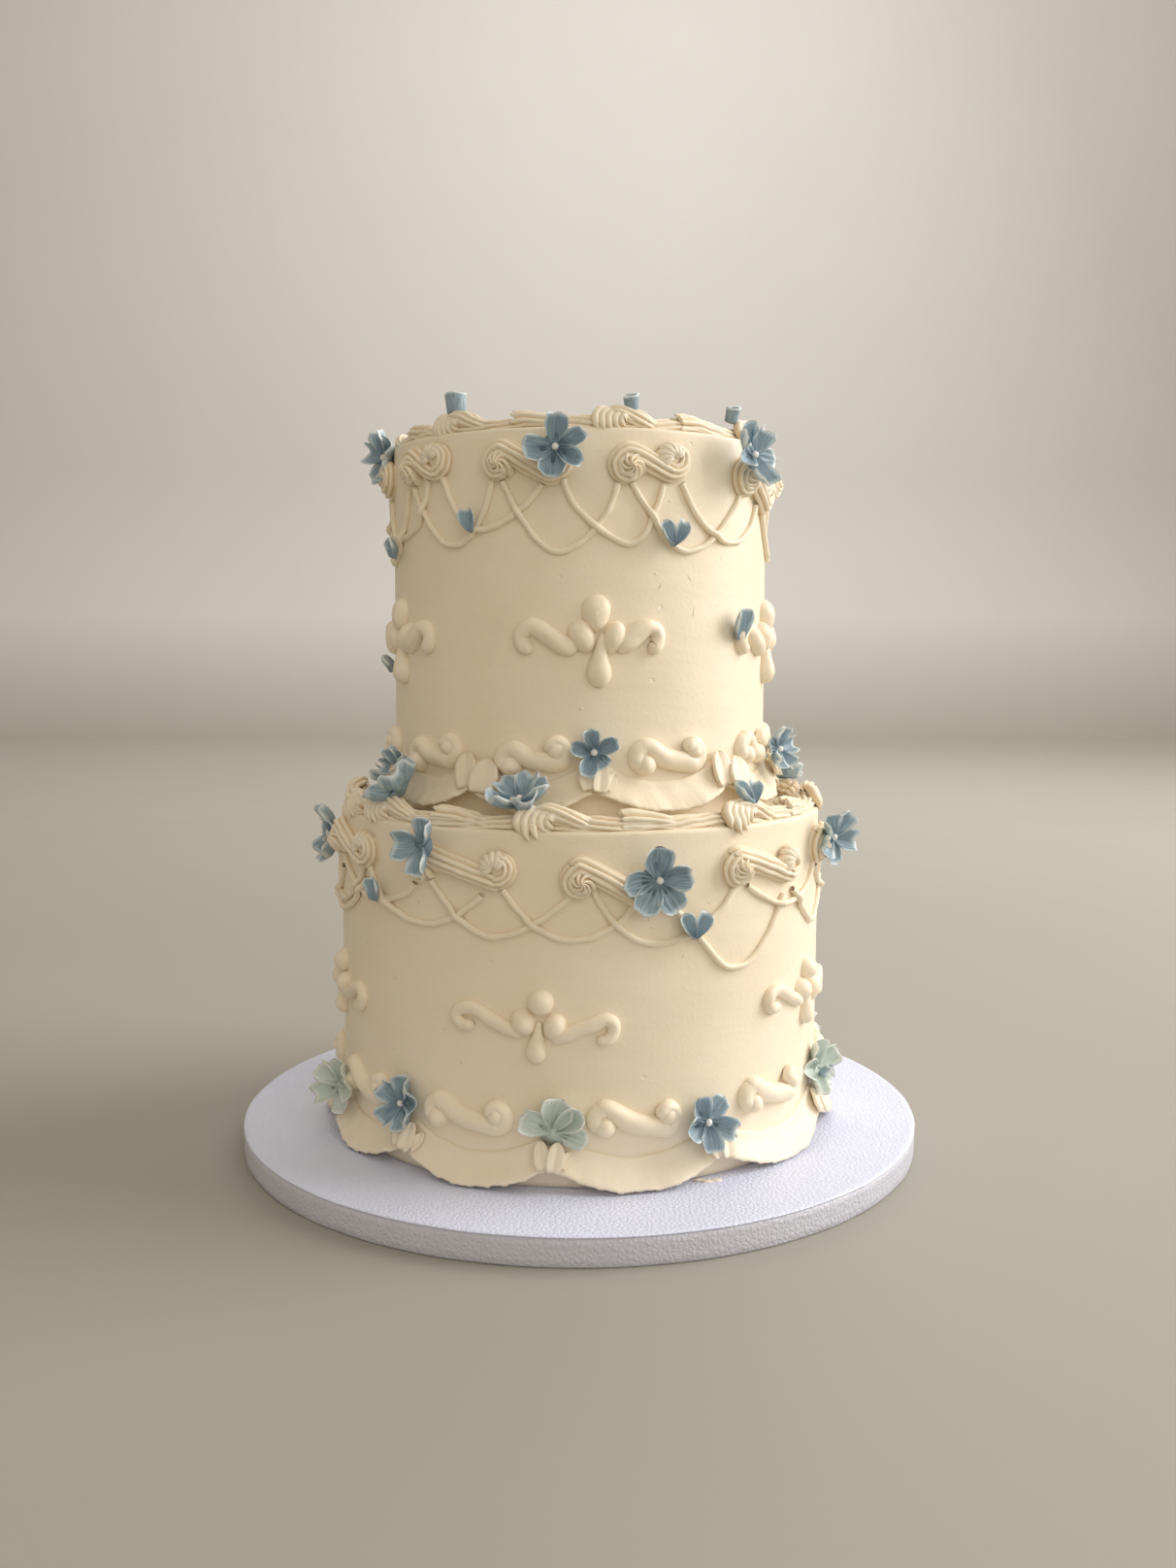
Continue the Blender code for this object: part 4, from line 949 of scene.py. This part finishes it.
def top_face(tier, angle, lean, side):
    """The way a flower on a top face faces, leaning out by lean degrees and right by side."""
    outward = Vector(tier.outward(np.array([angle]))[0])
    right = Vector((0, 0, 1)).cross(outward)
    sideways = right * math.tan(math.radians(side))
    return Vector((0, 0, 1)) + outward * math.tan(math.radians(lean)) + sideways


# Flowers and buds, which stay where their solids are: angle, width, turn to the right, tip, petals.
# Buds have an angle and a width; rim buds have angle, lean, width and depth; ledge flowers have
# angle, width, lean and turn to the right.
TOP_LARGE = (
    (-84.0, 26.0, 30, 8, 5), (-6.3, 25.0, 4, 6, 5), (50.4, 26.0, -6, 10, 5),
    (131.0, 24.0, 0, 6, 5), (-157.0, 24.0, -6, 8, 5),
)
BOTTOM_LARGE = (
    (-90.0, 27.0, 22, 0, 5), (-32.5, 22.0, -8, 10, 3), (14.0, 28.5, 0, -6, 5),
    (71.0, 25.0, -26, 0, 5), (141.0, 25.0, 5, 5, 5), (-146.0, 24.0, -8, 0, 5),
)
TOP_BORDER = (
    (-62.0, 18.0, 10, 6, 5), (3.8, 19.5, 0, 6, 5), (74.0, 20.0, -20, 6, 5),
    (152.0, 20.0, 0, 6, 5), (224.0, 20.0, 0, 6, 5),
)
BOTTOM_BORDER = (
    (-66.5, 25.0, 26, 8, 5), (-40.8, 25.0, 0, 8, 5), (-5.1, 26.0, -4, 8, 5),
    (27.2, 24.0, 0, 8, 5), (71.0, 25.0, -26, 8, 5),
) + tuple((angle, 23.0, 0, 8, 5) for angle in BOTTOM_JOINTS[5:])
STRING_BUDS = (
    (TOP, -30.4, 9.0), (TOP, -66.2, 8.5), (TOP, 25.0, 12.0), (TOP, 118.0, 9.0),
    (TOP, -128.0, 9.0), (BOTTOM, -48.4, 9.5), (BOTTOM, 23.4, 13.0),
    (BOTTOM, 108.0, 10.0), (BOTTOM, -118.0, 9.0),
)
WALL_BUDS = ((TOP, 50.6, 14.0), (TOP, -81.0, 9.0), (TOP, 166.0, 9.0), (BOTTOM, 68.8, 6.5))
RIM_BUDS = (
    (-42.0, -8.0, 10.5, 7.0), (15.2, 20.0, 7.5, 5.5), (54.0, 20.0, 6.5, 5.5), (122.0, 0.0, 9.5, 8.0),
    (-140.0, 10.0, 9.5, 8.0),
)
LEDGE_FLOWERS = (
    (-48.4, 27.0, 30, -34), (-14.2, 25.0, 20, -5), (105.0, 22.0, 45, 12), (166.0, 21.0, 45, -10),
    (-113.0, 22.0, 42, 8),
)


def flowers(finishes):
    """Every flower and bud, each standing for its own CAD node."""
    draw = random.Random(SEED)

    def add(node, face, width, depth, petals=5, pearl=True, slot="blue_petals"):
        looks = [finishes[slot], finishes["pearl"]]
        flower(node, slot, face, width, depth, petals, pearl, looks, draw)

    rows = (
        ("top_large_flower", TOP, TOP_LARGE, 7.5), ("bottom_large_flower", BOTTOM, BOTTOM_LARGE, 7.5),
        ("top_border_flower", TOP, TOP_BORDER, 6.5), ("bottom_border_flower", BOTTOM, BOTTOM_BORDER, 7.0),
    )
    for name, tier, places, depth in rows:
        for k, (angle, width, side, tip, petals) in enumerate(places):
            pale = name.startswith("bottom_border") and k % 2 == 0
            slot = "pale_petals" if pale else "blue_petals"
            add(f"{name}_{k + 1}", wall_face(tier, angle, side, tip), width, depth, petals,
                petals == 5 and not pale, slot)
    for k, (tier, angle, width) in enumerate(STRING_BUDS):
        add(f"string_bud_{k + 1}", wall_face(tier, angle, 0, 25), width, 5.0, 3, False)
    for k, (tier, angle, width) in enumerate(WALL_BUDS):
        add(f"wall_bud_{k + 1}", wall_face(tier, angle, 0, 0), width, 5.0, 4, False)
    for k, (angle, lean, width, depth) in enumerate(RIM_BUDS):
        add(f"rim_bud_{k + 1}", top_face(TOP, angle, lean, -12), width, depth, 3, False)
    for k, (angle, width, lean, side) in enumerate(LEDGE_FLOWERS):
        add(f"ledge_flower_{k + 1}", top_face(BOTTOM, angle, lean, side), width, 8.0)
    add("ledge_bud", top_face(BOTTOM, 41.0, 30, 0), 13.0, 6.0, 4, False)


class Finish:
    """A material on one Principled shader, built up from texture nodes."""

    def __init__(self, name, **values):
        self.material = bpy.data.materials.new(name)
        self.material.use_nodes = True
        self.tree = self.material.node_tree
        self.shader = self.tree.nodes["Principled BSDF"]
        for socket, value in values.items():
            self.shader.inputs[socket.replace("_", " ")].default_value = value

    def node(self, kind, inputs=None, **settings):
        made = self.tree.nodes.new("ShaderNode" + kind)
        for setting, value in settings.items():
            setattr(made, setting, value)
        for socket, value in (inputs or {}).items():
            if isinstance(value, bpy.types.NodeSocket):
                self.tree.links.new(value, made.inputs[socket])
            else:
                made.inputs[socket].default_value = value
        return made

    def place(self, stretch=(1, 1, 1)):
        where = self.node("TexCoord").outputs["Object"]
        return self.node("Mapping", {"Vector": where, "Scale": stretch}).outputs["Vector"]

    def noise(self, scale, detail=3.0, rough=0.55, stretch=(1, 1, 1)):
        return self.node("TexNoise", {
            "Vector": self.place(stretch), "Scale": scale, "Detail": detail, "Roughness": rough,
        }).outputs["Fac"]

    def between(self, value, low, high, start=0.0, stop=1.0):
        return self.node("MapRange", {
            "Value": value, "From Min": start, "From Max": stop, "To Min": low, "To Max": high,
        }).outputs["Result"]

    def mix(self, factor, first, second):
        made = self.node("Mix", data_type="RGBA")
        self.tree.links.new(factor, made.inputs[0])
        for socket, value in ((6, first), (7, second)):
            if isinstance(value, bpy.types.NodeSocket):
                self.tree.links.new(value, made.inputs[socket])
            else:
                made.inputs[socket].default_value = (*value, 1.0)
        return made.outputs[2]

    def bump(self, height, strength, distance, under=None):
        made = self.node("Bump", {"Height": height, "Strength": strength, "Distance": distance})
        if under is not None:
            self.tree.links.new(under, made.inputs["Normal"])
        return made.outputs["Normal"]

    def link(self, output, socket):
        self.tree.links.new(output, self.shader.inputs[socket])


def buttercream():
    """Ivory buttercream: satin, faintly mottled, with the odd air bubble broken open, and warm brown
    painted shade in its grooves and along ridge feet.
    """
    made = Finish("buttercream_icing", Subsurface_Weight=0.10, Subsurface_Scale=0.003)
    made.shader.inputs["Subsurface Radius"].default_value = (1.0, 0.72, 0.36)
    cloud = made.between(made.noise(18.0), 0.0, 1.0, 0.35, 0.65)
    face = made.mix(cloud, (0.88, 0.77, 0.60), (0.915, 0.81, 0.65))
    # Painted shade: grooves and ridge feet are mixed towards a warm brown.
    groove = made.node("SeparateXYZ", {
        "Vector": made.node("Attribute", attribute_name="petal").outputs["Vector"],
    }).outputs["X"]
    depth = made.between(groove, 0.0, 0.80, 0.25, 1.0)
    made.link(made.mix(depth, face, (0.68, 0.49, 0.25)), "Base Color")
    made.link(made.between(made.noise(60.0), 0.42, 0.56), "Roughness")
    grain = made.bump(made.noise(520.0, 4.0), 0.22, 0.0006)
    spots = made.node("TexVoronoi", {"Vector": made.place(), "Scale": 55.0}).outputs["Distance"]
    pits = made.bump(made.between(spots, 0.0, 1.0, 0.035, 0.06), 0.5, 0.0004, grain)
    smears = made.bump(made.noise(26.0, 2.0, 0.5, (1, 1, 4)), 0.10, 0.004, pits)
    made.link(smears, "Normal")
    return made.material


def petals(name, deep, light, border):
    """Tinted buttercream drawn through a petal tip: streaked, paler at its thin edge."""
    made = Finish(name, Subsurface_Weight=0.18, Subsurface_Scale=0.002)
    made.shader.inputs["Subsurface Radius"].default_value = (0.8, 0.9, 1.0)
    where = made.node("Attribute", attribute_name="petal").outputs["Vector"]
    parts = made.node("SeparateXYZ", {"Vector": where})
    stretched = made.node("Mapping", {"Vector": where, "Scale": (9.0, 0.9, 0.0)}).outputs["Vector"]
    streak = made.node("TexNoise", {"Vector": stretched, "Scale": 1.6, "Detail": 3.0}).outputs["Fac"]
    outer = made.between(parts.outputs["Y"], 0.40, 1.0, 0.0, 0.5)
    streaked = made.between(streak, 0.0, 1.0, 0.33, 0.66)
    spread_out = made.node("Math", {0: outer, 1: streaked}, operation="MULTIPLY")
    body = made.mix(spread_out.outputs["Value"], deep, light)
    edge = made.between(parts.outputs["Z"], 0.0, 0.9)
    made.link(made.mix(edge, body, border), "Base Color")
    made.link(made.between(made.noise(90.0), 0.42, 0.58), "Roughness")
    grooves = made.bump(streak, 0.35, 0.0008)
    made.link(made.bump(made.noise(700.0), 0.2, 0.0004, grooves), "Normal")
    return made.material


def pearl_finish():
    """Sugar pearls: off-white and softly glossy."""
    made = Finish("sugar_pearl", Coat_Weight=0.35, Coat_Roughness=0.18)
    made.link(made.mix(made.noise(300.0), (0.80, 0.78, 0.76), (0.90, 0.89, 0.87)), "Base Color")
    made.link(made.between(made.noise(400.0), 0.25, 0.38), "Roughness")
    return made.material


def foil():
    """White drum foil, embossed with a fine crackle; its side has a darker, greyer copy of the top's colour
    as painted shade.
    """
    made = Finish("drum_foil_white", Specular_IOR_Level=0.55)
    cloud = made.noise(30.0)
    top = made.mix(cloud, (0.70, 0.75, 0.96), (0.77, 0.82, 1.0))
    height = made.node("SeparateXYZ", {"Vector": made.place()}).outputs["Z"]
    # Painted shade: the side takes a darker, greyer copy of the foil colour than the top.
    side = made.mix(cloud, (0.58, 0.58, 0.66), (0.64, 0.64, 0.73))
    made.link(made.mix(made.between(height, 0.0, 1.0, 0.0112, 0.0116), side, top), "Base Color")
    made.link(made.between(made.noise(240.0), 0.34, 0.5), "Roughness")
    cells = made.node("TexVoronoi", {"Vector": made.place(), "Scale": 460.0}, feature="DISTANCE_TO_EDGE")
    emboss = made.bump(made.between(cells.outputs["Distance"], 0.0, 1.0, 0.0, 0.30), 0.32, 0.0007)
    made.link(made.bump(made.noise(420.0, 2.0), 0.25, 0.0005, emboss), "Normal")
    return made.material


def paper():
    """Matt backdrop paper, a little cloudy, greyer where it lies flat as the table."""
    made = Finish("backdrop_paper")
    cloud = made.noise(3.0)
    table = made.mix(cloud, (0.36, 0.345, 0.30), (0.39, 0.375, 0.33))
    wall = made.mix(cloud, (0.58, 0.565, 0.545), (0.61, 0.595, 0.575))
    height = made.node("SeparateXYZ", {"Vector": made.place()}).outputs["Z"]
    made.link(made.mix(made.between(height, 0.0, 1.0, 0.0, 0.30), table, wall), "Base Color")
    made.link(made.between(made.noise(15.0), 0.55, 0.65), "Roughness")
    made.link(made.bump(made.noise(120.0), 0.05, 0.001), "Normal")
    return made.material


def studio():
    """A pale table that curves up into a backdrop, and soft daylight from the right."""
    half, reach, bend, top = 6.0, 2.6, 0.7, 4.0
    profile = [(-3.0, 0.0), (reach, 0.0)]
    for k in range(1, 13):
        turn = 0.5 * math.pi * k / 12
        profile.append((reach + bend * math.sin(turn), bend - bend * math.cos(turn)))
    profile.append((reach + bend, top))
    data = bpy.data.meshes.new("backdrop")
    places = [(x, y, z) for y, z in profile for x in (-half, half)]
    quads = [(2 * k, 2 * k + 1, 2 * k + 3, 2 * k + 2) for k in range(len(profile) - 1)]
    data.from_pydata(places, [], quads)
    data.materials.append(paper())
    data.shade_smooth()
    backdrop = bpy.data.objects.new("backdrop", data)
    bpy.context.scene.collection.objects.link(backdrop)
    world = bpy.data.worlds.new("daylight")
    bpy.context.scene.world = world
    world.use_nodes = True
    sky = world.node_tree.nodes["Background"]
    sky.inputs["Color"].default_value = (0.92, 0.82, 0.68, 1.0)
    sky.inputs["Strength"].default_value = 0.60
    lamp("window", (1.9, 0.20, 1.15), 1.6, 50.0, (1.0, 0.985, 0.96))
    lamp("front_fill", (0.55, -1.6, 0.9), 1.2, 5.0, (1.0, 0.98, 0.95))
    lamp("back_light", (0.5, 1.5, 1.3), 1.2, 4.5, (0.94, 0.96, 1.0))
    lamp("backdrop_light", (0.3, 1.5, 2.2), 1.6, 30.0, (1.0, 0.98, 0.97), (0.0, 3.2, 0.9))


def lamp(name, place, size, power, color, target=(0, 0, 0.16)):
    """A square soft light aimed at the target, which the camera can't see."""
    data = bpy.data.lights.new(name, "AREA")
    data.shape = "SQUARE"
    data.size = size
    data.energy = power
    data.color = color
    made = bpy.data.objects.new(name, data)
    made.location = place
    aim = Vector(target) - Vector(place)
    made.rotation_euler = aim.to_track_quat("-Z", "Y").to_euler()
    made.visible_camera = False
    bpy.context.scene.collection.objects.link(made)


# The fitted camera's focal length in the photo's own pixels, and the photo's height.
FOCAL_PIXELS = 1436.3
PHOTO_HEIGHT = 1616.0


def photo_camera():
    """The photograph's view: a long lens a little above the cake, looking slightly down."""
    data = bpy.data.cameras.new("view")
    data.sensor_width = 36.0
    data.lens = data.sensor_width * FOCAL_PIXELS / PHOTO_HEIGHT
    pitch, roll, yaw = math.radians(5.753), math.radians(-0.114), math.radians(0.322)
    made = bpy.data.objects.new("view", data)
    turn = Matrix.Rotation(-yaw, 4, "Z") @ Matrix.Rotation(math.pi / 2 - pitch, 4, "X")
    stand = Matrix.Translation((0, -0.63305, 0.2237))
    made.matrix_world = stand @ turn @ Matrix.Rotation(-roll, 4, "Z")
    bpy.context.scene.collection.objects.link(made)
    bpy.context.scene.camera = made


def dress_tier(tier, cream, draw):
    """Every piped piece of one tier."""
    on_top = tier is TOP
    swag_places = all_swags(TOP_SWAGS if on_top else BOTTOM_SWAGS, draw)
    strings_seen = TOP_STRINGS if on_top else BOTTOM_STRINGS
    string_places = all_strings(strings_seen, swag_places, 31.0 if on_top else 27.0, draw)
    joints = TOP_JOINTS if on_top else BOTTOM_JOINTS
    seen = TOP_SCROLLS if on_top else BOTTOM_SCROLLS
    scroll_places = all_scrolls(seen, joints, 167.5 if on_top else 28.0, draw)
    foot = 147.0 if on_top else 2.5
    flowered = joints[::2] if on_top else joints
    rosettes = TOP_RIM_ROSETTES if on_top else BOTTOM_RIM_ROSETTES
    shells = TOP_RIM_SHELLS if on_top else BOTTOM_RIM_SHELLS
    wall(tier).make([cream], "buttercream", [tier.node])
    pieces = [
        swags(tier, swag_places, draw),
        strings(tier, string_places),
        ornaments(
            tier,
            TOP_ORNAMENTS if on_top else BOTTOM_ORNAMENTS,
            214.0 if on_top else 64.0,
            TOP_ORNAMENT if on_top else BOTTOM_ORNAMENT,
        ),
        scrolls(tier, scroll_places),
        ruffles(tier, joints, foot),
        bows(tier, joints, flowered, foot),
        rim(tier, rosettes, shells, DRIPPING),
        marks(tier, TOP_MARKS if on_top else BOTTOM_MARKS),
    ]
    for piece in pieces:
        piece.make([cream], "buttercream", [tier.node], uneven=PIPED_UNEVEN)


cream = buttercream()
looks = {
    "blue_petals": petals("blue_petal_icing", (0.19, 0.28, 0.345), (0.42, 0.53, 0.60), (0.80, 0.88, 0.90)),
    "pale_petals": petals("pale_petal_icing", (0.54, 0.62, 0.55), (0.68, 0.75, 0.68), (0.86, 0.90, 0.85)),
    "pearl": pearl_finish(),
}
draw = random.Random(SEED)
dress_tier(BOTTOM, cream, draw)
dress_tier(TOP, cream, draw)
drum_body().make([foil()], "board_foil", ["cake_drum"])
flowers(looks)
studio()
photo_camera()
bpy.context.scene.view_settings.view_transform = "Standard"
